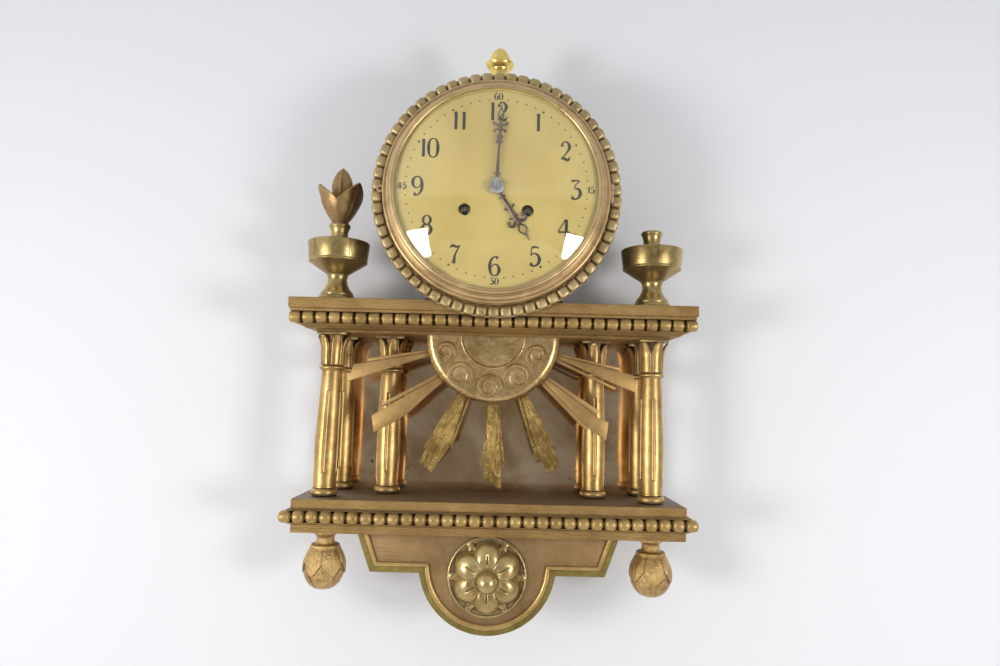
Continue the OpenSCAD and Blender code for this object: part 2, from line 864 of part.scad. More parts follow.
// One leaf of the bud, lying on its surface between four heights
module bud_leaf(turn, w, z0, z1, z2, z3) {
    z = [z0, z1, z2, z3];
    out = [for (v = z) bud_at(v) + 1];
    half = [w * 0.3, w / 2, w * 0.42, 0.3];
    points = [for (i = [0 : 3])
        each [[out[i] * 0.9, half[i], z[i]], [out[i] + 1, 0, z[i]],
              [out[i] * 0.9, -half[i], z[i]], [out[i] - 5, 0, z[i]]]];
    flip = z3 > z0;
    sides = [for (i = [0 : 2]) for (j = [0 : 3])
        let (a = 4 * i + j, b = 4 * i + (j + 1) % 4)
            each flip ? [[a, b, a + 4], [b, b + 4, a + 4]] : [[a, a + 4, b], [b, a + 4, b + 4]]];
    ends = flip ? [[0, 2, 1], [0, 3, 2], [12, 13, 14], [12, 14, 15]]
                : [[0, 1, 2], [0, 2, 3], [12, 14, 13], [12, 15, 14]];
    rotate([0, 0, turn])
        polyhedron(points, concat(sides, ends));
}

// Radius of the bud's surface at a height: a round shoulder above its widest place
// and half an ellipse below
function bud_at(z) =
    let (r = pendant_r - 1.2, wide = 0.61 * pendant_h)
        z < -wide ? r * sqrt(max(0, 1 - pow((z + wide) / (pendant_h - wide), 2)))
                  : r - 4.8 * pow((z + wide) / (wide - bud_top), 2);

module pendant(x) {
    color(gilt)
        translate([x, -outer_depth, shelf_under])
            pendant_solid();
}

module drum_saddle() {
    color(dark_wood)
        difference() {
            translate([-saddle_half, 6 - frame_back, cornice_top])
                cube([2 * saddle_half, frame_back - 6 - board_face, 24]);
            bar(board_face - 1, frame_back, drum_r + 0.1);
        }
}

module drum_case() {
    color(dark_wood)
        on_dial(board_face)
            difference() {
                cylinder(r = drum_r, h = frame_back - board_face, $fn = 128);
                translate([0, 0, -1])
                    cylinder(r = drum_inner, h = frame_back, $fn = 128);
            }
}

module drum_back() {
    color(dark_wood)
        bar(board_face, back_t, drum_inner - 0.2);
}

module top_finial() {
    color(brass)
        difference() {
            translate([0, -finial_depth, dial_z + drum_r])
                rotate_extrude()
                    polygon(concat(
                        [[0, -3], [13, -3], [13, 4]],
                        smooth([[12, 5], [8, 9], [5.4, 16], [5.2, 25], [7.2, 34],
                                [8.6, finial_h - 25], [13.4, finial_h - 22],
                                [15.3, finial_h - 19.4]], 3),
                        [[15.3, finial_h - 17.6], [10, finial_h - 15.4], [8.8, finial_h - 14.6],
                         [8.8, finial_h - 12.6], [10.8, finial_h - 12]],
                        smooth([[11, finial_h - 11], [10.6, finial_h - 7.6],
                                [7.6, finial_h - 3.8], [3, finial_h - 2]], 3),
                        [[2, finial_h - 1.4], [1.4, finial_h], [0, finial_h]]));
            bar(0, finial_depth + 30, drum_r + 0.1);
        }
}

module bead_frame() {
    color(gilt)
        on_dial(0)
            rotate_extrude($fn = 128)
                difference() {
                    polygon([[ledge_in, frame_back], [frame_r, frame_back],
                             [frame_r, frame_back + 2.2],
                             [frame_r - 0.8, frame_back + frame_plate],
                             [seat_out, frame_back + frame_plate], [seat_out, seat_front],
                             [seat_in, seat_front], [seat_in, ledge_front],
                             [ledge_in, ledge_front]]);
                    translate([ring_row_r, ring_row_depth])
                        circle(r = ring_bead_d / 2 + free_gap, $fn = 48);
                }
}

module frame_beads() {
    color(gilt)
        on_dial(ring_row_depth) {
            rotate_extrude($fn = 128)
                translate([ring_row_r, 0])
                    circle(r = ring_bead_d * 0.2, $fn = 16);
            for (i = [0 : ring_beads - 1])
                rotate((i + 0.5) * 360 / ring_beads)
                    translate([0, ring_row_r, 0])
                        bead(ring_bead_l, ring_bead_d);
        }
}

// The door swings on its pin at three o'clock. Its moulded ring carries the glass.
module door_bezel() {
    out_r = door_r;
    color(brass)
        difference() {
            union() {
                on_dial(0)
                    rotate_extrude($fn = 128)
                        polygon(concat(
                            [[glass_seat_r + 1.2, door_back], [out_r, door_back]],
                            smooth([[out_r, door_back + 4.6], [out_r - 0.5, door_back + 6.8],
                                    [out_r - 1.7, door_back + 8.2], [out_r - 3, door_back + 8]], 3),
                            smooth([[out_r - 3.4, door_back + 8.6],
                                    [out_r - 5.6, door_back + 10.4],
                                    [glass_seat_r + 2.8, door_back + 13.4],
                                    [glass_seat_r + 1.6, lip_back - 0.4]], 3),
                            smooth([[glass_seat_r + 1.3, lip_back + 0.2],
                                    [glass_seat_r + 0.4, lip_front],
                                    [sight_r + 1.4, lip_front + 0.8], [sight_r, lip_front]], 3),
                            [[sight_r, lip_back], [glass_seat_r, lip_back],
                             [glass_seat_r, glass_edge - 0.4],
                             [glass_seat_r + 1.2, glass_edge - 0.4]]));
                translate([hinge_x, -hinge_depth, dial_z - knuckle_l / 2 + 0.1])
                    cylinder(r = knuckle_r, h = knuckle_l - 0.2, $fn = 32);
                translate([hinge_x - 5, -hinge_depth - knuckle_r, dial_z - knuckle_l / 2 + 0.1])
                    cube([5, knuckle_r + 1, knuckle_l - 0.2]);
            }
            translate([hinge_x, -hinge_depth, dial_z - 20])
                cylinder(r = hinge_pin_r + run_gap, h = 40, $fn = 32);
            for (s = [-1, 1])
                translate([hinge_x, -hinge_depth, dial_z + s * (knuckle_l + 0.3) - 0.5 * (knuckle_l + 1)])
                    cylinder(r = knuckle_r + 0.4, h = knuckle_l + 1, $fn = 32);
        }
}

module door_glass() {
    cap_r = sight_r - 0.6;
    ball = (cap_r * cap_r + glass_rise * glass_rise) / (2 * glass_rise);
    color([0.8, 0.88, 0.9, 0.3])
        on_dial(0)
            rotate_extrude($fn = 128) {
                translate([cap_r - 2, glass_edge])
                    square([glass_seat_r - cap_r + 1.9, glass_t - 0.05]);
                intersection() {
                    translate([0, lip_back + glass_rise - ball])
                        difference() {
                            circle(r = ball, $fn = 256);
                            circle(r = ball - glass_t, $fn = 256);
                        }
                    translate([0, glass_edge])
                        square([cap_r, glass_rise + 5]);
                }
            }
}

// The catch at nine o'clock: a small bored tongue on the door's rim, to pull it open
module door_catch() {
    color(brass)
        on_dial(door_back + 0.8)
            difference() {
                union() {
                    translate([-catch_reach + catch_half, -catch_half, 0])
                        cube([catch_reach - catch_half - door_r + 4, 2 * catch_half, catch_t]);
                    translate([-catch_reach + catch_half, 0, 0])
                        cylinder(r = catch_half, h = catch_t, $fn = 32);
                }
                translate([0, 0, -1])
                    cylinder(r = door_r + 0.05, h = catch_t + 2, $fn = 128);
                translate([-catch_reach + catch_half, 0, -1])
                    cylinder(r = 1.7, h = catch_t + 2, $fn = 24);
            }
}

module hinge_leaf() {
    plate_front = frame_back + frame_plate;
    color(brass)
        difference() {
            union() {
                for (s = [-1, 1])
                    translate([hinge_x, -hinge_depth,
                               dial_z + s * (knuckle_l + 0.3) - knuckle_l / 2])
                        cylinder(r = knuckle_r, h = knuckle_l, $fn = 32);
                for (s = [-1, 1])
                    translate([seat_out + 0.2, -hinge_depth,
                               dial_z + s * (knuckle_l + 0.3) - knuckle_l / 2])
                        cube([1, hinge_depth - plate_front, knuckle_l]);
            }
            translate([hinge_x, -hinge_depth, dial_z - 20])
                cylinder(r = hinge_pin_r, h = 40, $fn = 32);
        }
}

module hinge_pin() {
    reach = 1.5 * knuckle_l + 0.3;
    color(steel)
        translate([hinge_x, -hinge_depth, dial_z]) {
            translate([0, 0, -reach])
                cylinder(r = hinge_pin_r, h = 2 * reach, $fn = 32);
            for (s = [-1, 1])
                translate([0, 0, s * (reach + 0.6) - 0.6])
                    cylinder(r = hinge_pin_r + 0.6, h = 1.2, $fn = 32);
        }
}

module mount_ring() {
    color(brass)
        on_dial(ledge_front)
            difference() {
                cylinder(r = seat_in - 0.2, h = mount_t, $fn = 128);
                translate([0, 0, -1])
                    cylinder(r = plate_r - ring_hold, h = mount_t + 2, $fn = 96);
            }
}

module dial() {
    color([0.85, 0.77, 0.51])
        difference() {
            union() {
                bar(dial_depth - dial_t, dial_t, glass_seat_r - 0.8);
                for (a = [45, 135, 225, 315])
                    bar(plate_front_face, dial_depth - 0.5 - plate_front_face, 2,
                        dial_foot_r * cos(a), dial_foot_r * sin(a));
            }
            bar(dial_depth - 3, 4, dial_hole_r);
            for (s = [-1, 1])
                bar(dial_depth - 3, 4, wind_hole_r, s * wind_x, -wind_drop);
        }
}

// Holes through a plate for every arbor that turns in it
module arbor_holes(d, front) {
    bar(d, 10, arbor_r + run_gap);
    for (s = [-1, 1])
        bar(d, 10, wind_r + run_gap, s * wind_x, -wind_drop);
    bar(d, 10, small_r + run_gap, third_x, third_z);
    bar(d, 10, small_r + run_gap, 0, escape_z);
    bar(d, 10, anchor_r + run_gap, 0, anchor_z);
    bar(d, 10, anchor_r + run_gap, pin_wheel_x, pin_wheel_z);
}

module front_plate() {
    color(brass) {
        difference() {
            bar(plate_front_back, plate_t, plate_r);
            arbor_holes(plate_front_back - 3);
        }
        bar(plate_front_face - 0.5, 7.2, stud_r, motion_x, motion_z);
    }
}

module back_plate() {
    color(brass) {
        difference() {
            union() {
                bar(plate_back_back, plate_t, plate_r);
                on_dial(pendulum_depth - 5, 0, suspension_z)
                    difference() {
                        translate([-7, -4.5, 0])
                            cube([14, 9, plate_back_back - pendulum_depth + 6]);
                        translate([-3, -7, 5 - fork_t / 2 - 0.4])
                            cube([6, 10.2, fork_t + 0.8]);
                    }
                bar(hammer_depth - 2, plate_back_back - hammer_depth + 3, stud_r,
                    hammer_x, hammer_z);
            }
            arbor_holes(plate_back_back - 3);
        }
        bar(pendulum_depth - 4, 8, 0.8, 0, suspension_z);
    }
}

module plate_pillars() {
    color(brass)
        for (p = pillar_spots)
            on_dial(plate_back_face, p[0], p[1])
                rotate_extrude($fn = 32)
                    polygon([[0, 0], [pillar_r, 0], [pillar_r, 3], [pillar_r - 1.2, 4.4],
                             [pillar_r - 1.2, plate_gap / 2 - 2], [pillar_r - 0.2, plate_gap / 2 - 1],
                             [pillar_r - 0.2, plate_gap / 2 + 1], [pillar_r - 1.2, plate_gap / 2 + 2],
                             [pillar_r - 1.2, plate_gap - 4.4], [pillar_r, plate_gap - 3],
                             [pillar_r, plate_gap], [0, plate_gap]]);
}

module barrel_solid(x, wheel_back, turn) {
    color(brass)
        difference() {
            union() {
                bar(barrel_back, barrel_front - barrel_back, barrel_r, x, -wind_drop);
                on_dial(wheel_back, x, -wind_drop)
                    pinion(great_teeth, great_mod, great_t, turn);
            }
            bar(plate_back_face, plate_gap, wind_r + run_gap, x, -wind_drop);
        }
}

module going_barrel() {
    barrel_solid(wind_x, going_wheel_back, atan2(wind_drop, -wind_x));
}

module strike_barrel() {
    barrel_solid(-wind_x, strike_wheel_back, pin_wheel_angle);
}

// A winding arbor, with its square end behind the hole in the dial
module winding_arbor(x) {
    color(steel) {
        bar(plate_back_back, plate_front_face + 1 - plate_back_back, wind_r, x, -wind_drop);
        on_dial(plate_front_face, x, -wind_drop)
            linear_extrude(dial_depth - 1 - plate_front_face)
                square(wind_r * 1.4, center = true);
    }
}

module centre_arbor() {
    color(steel)
        bar(plate_back_back, cannon_front + 1 - plate_back_back, arbor_r);
    color(brass) {
        on_dial(going_wheel_back - 0.8)
            pinion(centre_leaves, great_mod, great_t + 1.6,
                   atan2(wind_drop, -wind_x) + 180 + 180 / centre_leaves);
        on_dial(centre_wheel_back)
            crossed_wheel(wheel_teeth, centre_mod, wheel_t, 4, 5, third_angle);
    }
}

module third_wheel() {
    to_escape = atan2(escape_z - third_z, -third_x);
    color(brass) {
        bar(plate_back_back, plate_front_face - plate_back_back, small_r, third_x, third_z);
        on_dial(centre_wheel_back - 1, third_x, third_z)
            pinion(small_leaves, centre_mod, wheel_t + 2, third_angle + 180 + 180 / small_leaves);
        on_dial(third_wheel_back, third_x, third_z)
            crossed_wheel(wheel_teeth, third_mod, wheel_t, 3, 5, to_escape);
    }
}

module escape_wheel() {
    to_escape = atan2(escape_z - third_z, -third_x);
    color(brass) {
        bar(plate_back_back, plate_front_face - plate_back_back, small_r, 0, escape_z);
        on_dial(third_wheel_back - 1, 0, escape_z)
            pinion(small_leaves, third_mod, wheel_t + 2, to_escape + 180 + 180 / small_leaves);
        on_dial(escape_wheel_back, 0, escape_z)
            linear_extrude(wheel_t)
                difference() {
                    polygon([for (i = [0 : escape_teeth - 1])
                        for (p = [[0, escape_r], [0.18, escape_r], [0.5, escape_r - 1.7],
                                  [0.82, escape_r - 1.7]])
                            let (a = (i + p[0]) * 360 / escape_teeth)
                                [p[1] * cos(a), p[1] * sin(a)]]);
                    for (a = [45 : 90 : 315])
                        rotate(a)
                            translate([5.6, 0])
                                circle(r = 2.4, $fn = 24);
                }
    }
}

// Anchor, its arbor, and the crutch that holds the pendulum rod behind the plate
module anchor() {
    arm_depth = escape_wheel_back;
    spread = 9.4;
    drop = anchor_z - escape_z - sqrt(pow(escape_r + 1.2, 2) - spread * spread);
    crutch_depth = pendulum_depth + 4.6;
    color(steel) {
        bar(crutch_depth, plate_front_face - crutch_depth, anchor_r, 0, anchor_z);
        on_dial(arm_depth, 0, anchor_z)
            linear_extrude(wheel_t) {
                circle(r = 2.6);
                polygon([[0, 2.4], [spread + 1.6, -2], [spread + 1.6, -drop],
                         [spread, -drop], [spread - 0.4, -3.6], [0, -1.4],
                         [0.4 - spread, -3.6], [-spread, -drop], [-spread - 1.6, -drop],
                         [-spread - 1.6, -2]]);
            }
        on_dial(crutch_depth, 0, anchor_z)
            linear_extrude(1.2) {
                circle(r = 2.6);
                translate([-1, -crutch_l])
                    square([2, crutch_l]);
                translate([-4, -crutch_l - 1])
                    square([8, 2]);
            }
        for (s = [-1, 1])
            bar(pendulum_depth - 3, crutch_depth - pendulum_depth + 3.4, 0.8,
                s * (rod_r + free_gap + 0.8), anchor_z - crutch_l);
    }
}

module pin_wheel() {
    color(brass) {
        bar(plate_back_back, plate_front_face - plate_back_back, anchor_r,
            pin_wheel_x, pin_wheel_z);
        on_dial(strike_wheel_back - 0.8, pin_wheel_x, pin_wheel_z)
            pinion(centre_leaves, great_mod, great_t + 1.6,
                   pin_wheel_angle + 180 + 180 / centre_leaves);
        on_dial(barrel_back + 4, pin_wheel_x, pin_wheel_z) {
            cylinder(r = 12, h = wheel_t);
            for (a = [0 : 45 : 315])
                rotate(a)
                    translate([9.6, 0, 0])
                        cylinder(r = 0.7, h = 4, $fn = 24);
        }
    }
}

module cannon_pinion() {
    color(brass)
        difference() {
            union() {
                bar(motion_back, cannon_front - motion_back, cannon_r);
                on_dial(motion_back)
                    pinion(cannon_leaves, cannon_mod, cannon_leaf_t, motion_angle);
            }
            bar(motion_back - 1, cannon_front - motion_back + 2, arbor_r + run_gap);
        }
}

module minute_wheel() {
    color(brass)
        difference() {
            union() {
                on_dial(motion_back + 0.3, motion_x, motion_z)
                    crossed_wheel(minute_teeth, cannon_mod, wheel_t, 3.6, 4,
                                  motion_angle + 180 + 180 / minute_teeth);
                on_dial(motion_back + 0.3, motion_x, motion_z)
                    pinion(minute_leaves, hour_mod, hour_back + hour_wheel_t - motion_back,
                           motion_angle + 180);
            }
            bar(motion_back - 1, 12, stud_r + run_gap, motion_x, motion_z);
        }
}

module hour_wheel() {
    color(brass)
        difference() {
            union() {
                on_dial(hour_back)
                    crossed_wheel(hour_teeth, hour_mod, hour_wheel_t, 5, 4,
                                  motion_angle + 180 / hour_teeth);
                bar(hour_back, hour_hand_depth - hour_back, hour_pipe_r);
            }
            bar(hour_back - 1, hour_hand_depth - hour_back + 2, cannon_r + run_gap);
        }
}

// A ring of the hands' scrollwork
module curl(x, y, r, w) {
    translate([x, y])
        difference() {
            circle(r = r);
            circle(r = r - w);
        }
}

module hour_hand() {
    l = hour_hand_l;
    color(blued)
        on_dial(hour_hand_depth)
            rotate(-hour_hand_angle)
                linear_extrude(hand_t)
                    difference() {
                        union() {
                            circle(r = 6.6);
                            polygon([[-1.8, 0], [1.8, 0], [1, l * 0.59], [-1, l * 0.59]]);
                            for (s = [-1, 1]) {
                                curl(s * 3.2, l * 0.3, 3, 1.2);
                                curl(s * 4.2, l * 0.46, 3.4, 1.3);
                                curl(s * 2.6, l * 0.56, 2.4, 1.1);
                            }
                            difference() {
                                polygon([[0, l * 0.54], [5.4, l * 0.7], [0, l * 0.94],
                                         [-5.4, l * 0.7]]);
                                polygon([[0, l * 0.6], [3.3, l * 0.7], [0, l * 0.86],
                                         [-3.3, l * 0.7]]);
                            }
                            polygon([[-1.3, l * 0.86], [1.3, l * 0.86], [0, l]]);
                        }
                        circle(r = cannon_r + run_gap);
                    }
}

module minute_hand() {
    l = minute_hand_l;
    color(blued)
        on_dial(minute_hand_depth)
            rotate(-minute_hand_angle)
                linear_extrude(hand_t)
                    difference() {
                        union() {
                            circle(r = 5);
                            polygon([[-1.5, 0], [1.5, 0], [0.9, l * 0.78], [-0.9, l * 0.78]]);
                            for (s = [-1, 1]) {
                                curl(s * 2.6, l * 0.62, 2.5, 1);
                                curl(s * 3.4, l * 0.7, 2.8, 1);
                                curl(s * 2.2, l * 0.77, 2, 0.9);
                            }
                            difference() {
                                polygon([[0, l * 0.74], [3.2, l * 0.83], [0, l * 0.95],
                                         [-3.2, l * 0.83]]);
                                polygon([[0, l * 0.785], [1.7, l * 0.83], [0, l * 0.89],
                                         [-1.7, l * 0.83]]);
                            }
                            polygon([[-0.9, l * 0.9], [0.9, l * 0.9], [0, l]]);
                        }
                        circle(r = cannon_r);
                    }
}

module hand_nut() {
    ball = (nut_r * nut_r + pow(nut_t - 1.4, 2)) / (2 * (nut_t - 1.4));
    color(steel)
        on_dial(cannon_front)
            difference() {
                rotate_extrude() {
                    square([nut_r, 1.4]);
                    intersection() {
                        translate([0, nut_t - ball])
                            circle(r = ball, $fn = 96);
                        translate([0, 1.3])
                            square([nut_r, nut_t]);
                    }
                }
                translate([0, 0, -1])
                    cylinder(r = arbor_r + 0.4, h = 2.6);
            }
}

module pendulum() {
    top = suspension_z;
    bob_z = top - pendulum_l;
    color(steel)
        difference() {
            union() {
                on_dial(pendulum_depth - fork_t / 2, 0, top)
                    linear_extrude(fork_t) {
                        circle(r = 2.4);
                        translate([-1.6, -9])
                            square([3.2, 9]);
                    }
                translate([0, -pendulum_depth, dial_z + bob_z - bob_r - 6])
                    cylinder(r = rod_r, h = pendulum_l + bob_r);
            }
            bar(pendulum_depth - 6, 12, 0.8 + run_gap, 0, top);
        }
    color(brass) {
        on_dial(pendulum_depth - bob_t / 2, 0, bob_z)
            rotate_extrude()
                polygon([[0, 0], [bob_r - 7, 0], [bob_r, bob_t * 0.22], [bob_r, bob_t * 0.78],
                         [bob_r - 7, bob_t], [0, bob_t]]);
        translate([0, -pendulum_depth, dial_z + bob_z - bob_r - 4])
            cylinder(r = 3.6, h = 3.2);
    }
}

module bell() {
    color(brass)
        on_dial(bell_depth)
            rotate_extrude()
                difference() {
                    intersection() {
                        translate([0, bell_r])
                            difference() {
                                circle(r = bell_r, $fn = 96);
                                circle(r = bell_r - bell_t, $fn = 96);
                            }
                        square([bell_r + 1, bell_r - 10]);
                    }
                    square([post_r + 0.05, 6]);
                }
}

module bell_post() {
    crown_inside = bell_depth + bell_r + 0.1
                   - sqrt(pow(bell_r - bell_t, 2) - pow(post_r + 2.2, 2));
    color(brass) {
        bar(board_face + back_t, bell_depth + 5 - board_face - back_t, post_r);
        bar(board_face + back_t, 3, post_r + 5);
        bar(bell_depth - 3, 3, post_r + 2);
        bar(crown_inside, 3, post_r + 2.2);
    }
}

module bell_hammer() {
    reach = bell_r + 4.6;
    head_x = -reach * cos(16);
    head_z = reach * sin(16);
    color(steel)
        difference() {
            union() {
                bar(hammer_depth, 6, 3.4, hammer_x, hammer_z);
                on_dial(hammer_depth + 1.5)
                    linear_extrude(3)
                        polygon([[hammer_x - 1.4, hammer_z], [hammer_x + 1.4, hammer_z],
                                 [head_x + 1, head_z], [head_x - 1, head_z]]);
                bar(hammer_depth - 1, 8, 4.4, head_x, head_z);
            }
            bar(hammer_depth - 4, 14, stud_r + run_gap, hammer_x, hammer_z);
        }
}

backboard();
back_tongue();
hanger_plate();
mirror_glass();
cornice();
cornice_beads();
lower_shelf();
shelf_beads();
apron();
rosette();
column(-outer_x, outer_depth);  // column_front_left
column(outer_x, outer_depth);  // column_front_right
column(-inner_x, inner_depth);  // column_inner_left
column(inner_x, inner_depth);  // column_inner_right
half_column(-outer_x);  // half_column_left
half_column(outer_x);  // half_column_right
sun_disc();
sun_rays();
urn(-outer_x);  // urn_left
urn(outer_x);  // urn_right
urn_flower();
pendant(-outer_x);  // pendant_left
pendant(outer_x);  // pendant_right
drum_saddle();
drum_case();
drum_back();
top_finial();
bead_frame();
frame_beads();
door_bezel();
door_glass();
door_catch();
hinge_leaf();
hinge_pin();
mount_ring();
dial();
front_plate();
back_plate();
plate_pillars();
going_barrel();
strike_barrel();
winding_arbor(wind_x);  // going_winding_arbor
winding_arbor(-wind_x);  // strike_winding_arbor
centre_arbor();
third_wheel();
escape_wheel();
anchor();
pin_wheel();
cannon_pinion();
minute_wheel();
hour_wheel();
minute_hand();
hour_hand();
hand_nut();
pendulum();
bell();
bell_post();
bell_hammer();
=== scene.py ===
import math

import bpy
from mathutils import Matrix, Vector


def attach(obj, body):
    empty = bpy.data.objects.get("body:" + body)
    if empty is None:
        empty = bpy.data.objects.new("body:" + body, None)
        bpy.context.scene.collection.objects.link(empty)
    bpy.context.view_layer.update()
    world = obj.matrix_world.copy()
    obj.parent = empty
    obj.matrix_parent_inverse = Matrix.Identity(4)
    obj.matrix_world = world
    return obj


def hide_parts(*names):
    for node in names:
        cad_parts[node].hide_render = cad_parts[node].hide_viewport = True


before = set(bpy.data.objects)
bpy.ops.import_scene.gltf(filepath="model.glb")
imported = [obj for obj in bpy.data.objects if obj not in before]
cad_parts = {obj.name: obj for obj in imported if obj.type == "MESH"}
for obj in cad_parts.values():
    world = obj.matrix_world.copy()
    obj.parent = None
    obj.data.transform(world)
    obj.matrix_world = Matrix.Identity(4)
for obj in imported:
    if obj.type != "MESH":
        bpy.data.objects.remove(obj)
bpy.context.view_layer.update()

# The room. The clock hangs on a plain pale wall over a pale floor and is lit by two
# large soft lamps, left and right of the camera, and by the pale room round it. The
# wall is open from behind, and two weaker lamps stand there for the back.
VIEW_PLACE = (0.0068, -0.8307, -0.2814)
VIEW_TURN = (95.3586, -1.3959, -0.1509)
VIEW_LENS = 25.56
WALL_WIDTH = 5.0
WALL_HEIGHT = 3.6
FLOOR_Z = -1.35
# Each lamp: its place, width, height and power.
LAMPS = [
    ("lamp_left", (-0.95, -1.00, -0.42), 0.36, 0.34, 7.6),
    ("lamp_right", (0.93, -1.00, -0.42), 0.30, 0.30, 6.6),
    ("lamp_back_left", (-0.9, 0.9, 0.3), 0.9, 0.9, 9.0),
    ("lamp_back_right", (0.9, 0.9, 0.1), 0.9, 0.9, 7.0),
]
LAMP_AIM = Vector((0, -0.05, -0.22))
# The room's glow by how far up and how far left a direction points: the two ends of
# the change, and the glow at each of them.
SKY_BY_HEIGHT = (0.14, 0.19, 0.22, 0.64)
SKY_BY_SIDE = (-0.45, -0.85, 0, 0.5)
SKY_COLOUR = (0.93, 0.96, 1.0, 1)


def set_inputs(tree, node, inputs):
    """Links a node's inputs to other nodes' sockets, or gives them plain values."""
    for key, value in inputs.items():
        if isinstance(value, bpy.types.NodeSocket):
            tree.links.new(value, node.inputs[key])
        else:
            node.inputs[key].default_value = value


def add_node(tree, kind, inputs=None, **settings):
    """Adds a shader node, sets it up and fills its inputs."""
    made = tree.nodes.new(kind)
    for key, value in settings.items():
        setattr(made, key, value)
    set_inputs(tree, made, inputs or {})
    return made


def new_material(name):
    """A material with its tree and its main shader."""
    material = bpy.data.materials.new(name)
    material.use_nodes = True
    tree = material.node_tree
    return material, tree, tree.nodes["Principled BSDF"]


def grey_ramp(tree, factor, low, high, start=0.0, end=1.0):
    """Maps a factor between low and high to a value between start and end."""
    made = add_node(
        tree,
        "ShaderNodeMapRange",
        {"Value": factor, "From Min": low, "From Max": high, "To Min": start, "To Max": end},
    )
    return made.outputs["Result"]


def clear_where(tree, factor, shader, tint=(1, 1, 1)):
    """Makes a material see-through by a factor."""
    clear = add_node(tree, "ShaderNodeBsdfTransparent", {"Color": (*tint, 1)}).outputs[0]
    inputs = {0: factor, 1: shader.outputs[0], 2: clear}
    mixed = add_node(tree, "ShaderNodeMixShader", inputs).outputs[0]
    tree.links.new(mixed, tree.nodes["Material Output"].inputs[0])


def plain_stage(name, colour):
    """A matt paint that is clear from behind and lets lamps through."""
    material, tree, paint = new_material(name)
    set_inputs(tree, paint, {"Base Color": (*colour, 1), "Roughness": 0.9})
    behind = add_node(tree, "ShaderNodeNewGeometry").outputs["Backfacing"]
    lamp_ray = add_node(tree, "ShaderNodeLightPath").outputs["Is Shadow Ray"]
    either = add_node(tree, "ShaderNodeMath", {0: behind, 1: lamp_ray}, operation="MAXIMUM")
    clear_where(tree, either.outputs[0], paint)
    return material


def begun(add_operator, **settings):
    """What an add operator makes, as the only selected object."""
    bpy.ops.object.select_all(action="DESELECT")
    add_operator(**settings)
    return bpy.context.object


camera = begun(
    bpy.ops.object.camera_add,
    location=VIEW_PLACE,
    rotation=[math.radians(a) for a in VIEW_TURN],
)
camera.data.sensor_width = 36
camera.data.lens = VIEW_LENS
bpy.context.scene.camera = camera

wall = begun(bpy.ops.mesh.primitive_plane_add, size=1, rotation=(math.pi / 2, 0, 0))
wall.name = "wall"
wall.location = (0, 0.0006, FLOOR_Z + WALL_HEIGHT / 2)
wall.scale = (WALL_WIDTH, WALL_HEIGHT, 1)
wall.data.materials.append(plain_stage("wall_paint", (0.80, 0.80, 0.81)))
floor = begun(bpy.ops.mesh.primitive_plane_add, size=1, location=(0, -WALL_WIDTH / 2, FLOOR_Z))
floor.name = "floor"
floor.scale = (WALL_WIDTH, WALL_WIDTH, 1)
floor.data.materials.append(plain_stage("floor_paint", (0.74, 0.72, 0.70)))

for lamp_name, spot, width, height, power in LAMPS:
    lamp = begun(bpy.ops.object.light_add, type="AREA", location=spot)
    lamp.name = lamp_name
    lamp.data.shape = "RECTANGLE"
    lamp.data.size = width
    lamp.data.size_y = height
    lamp.data.energy = power
    lamp.rotation_euler = (LAMP_AIM - Vector(spot)).to_track_quat("-Z", "Y").to_euler()

world = bpy.data.worlds.new("room_light")
bpy.context.scene.world = world
world.use_nodes = True
sky = world.node_tree
direction = add_node(sky, "ShaderNodeTexCoord").outputs["Generated"]
parts = add_node(sky, "ShaderNodeSeparateXYZ", {0: direction})
above = grey_ramp(sky, parts.outputs["Z"], *SKY_BY_HEIGHT)
window = grey_ramp(sky, parts.outputs["X"], *SKY_BY_SIDE)
glow = add_node(sky, "ShaderNodeMath", {0: above, 1: window}, operation="ADD").outputs[0]
set_inputs(sky, sky.nodes["Background"], {"Color": SKY_COLOUR, "Strength": glow})
bpy.context.scene.view_settings.view_transform = "Standard"


# Cornice and lower shelf: softwood boards under gesso and gold leaf, worn to the red
# ground at the corners. The tops are matt, with no metal shine, and darker as painted shade.
# The cornice hangs from the backboard, and the shelf carries the columns.
def mixed_colour(tree, factor, first, second, blend="MIX"):
    """A colour mixed from two sockets or plain colours."""
    made = tree.nodes.new("ShaderNodeMix")
    made.data_type = "RGBA"
    made.blend_type = blend
    for number, value in ((0, factor), (6, first), (7, second)):
        plain = isinstance(value, tuple)
        set_inputs(tree, made, {number: (*value, 1) if plain else value})
    return made.outputs[2]


def noise(tree, place, scale, detail=5.0, roughness=0.6, distortion=0.0):
    """Clouds at a place, as a factor."""
    inputs = {"Vector": place, "Scale": scale, "Detail": detail}
    inputs.update({"Roughness": roughness, "Distortion": distortion})
    return add_node(tree, "ShaderNodeTexNoise", inputs).outputs["Fac"]


def combined(tree, first, second, operation="MULTIPLY"):
    """Two factors joined by one operation."""
    return add_node(
        tree, "ShaderNodeMath", {0: first, 1: second}, operation=operation, use_clamp=True
    ).outputs[0]


def object_place(tree):
    """Where a point is in its object."""
    return add_node(tree, "ShaderNodeTexCoord").outputs["Object"]


def occlusion(tree, distance, samples, inside=False):
    """How open a point's surroundings are, or how near an edge it is from inside."""
    inputs = {"Distance": distance}
    kind = "ShaderNodeAmbientOcclusion"
    return add_node(tree, kind, inputs, samples=samples, inside=inside).outputs["AO"]


def bump(tree, height, strength, distance, under=None):
    """Fine relief, on top of another relief where one is given."""
    inputs = {"Height": height, "Strength": strength, "Distance": distance}
    if under is not None:
        inputs["Normal"] = under
    return add_node(tree, "ShaderNodeBump", inputs).outputs[0]


RED_GROUND = (0.19, 0.062, 0.028)
# The dark brown that hollows are darkened towards, and how far out: dirt, and painted shade.
HOLLOW_DIRT_AND_SHADE = (0.055, 0.032, 0.014)
EDGE_REACH = 0.0014
DIRT_AND_SHADE_REACH = 0.010
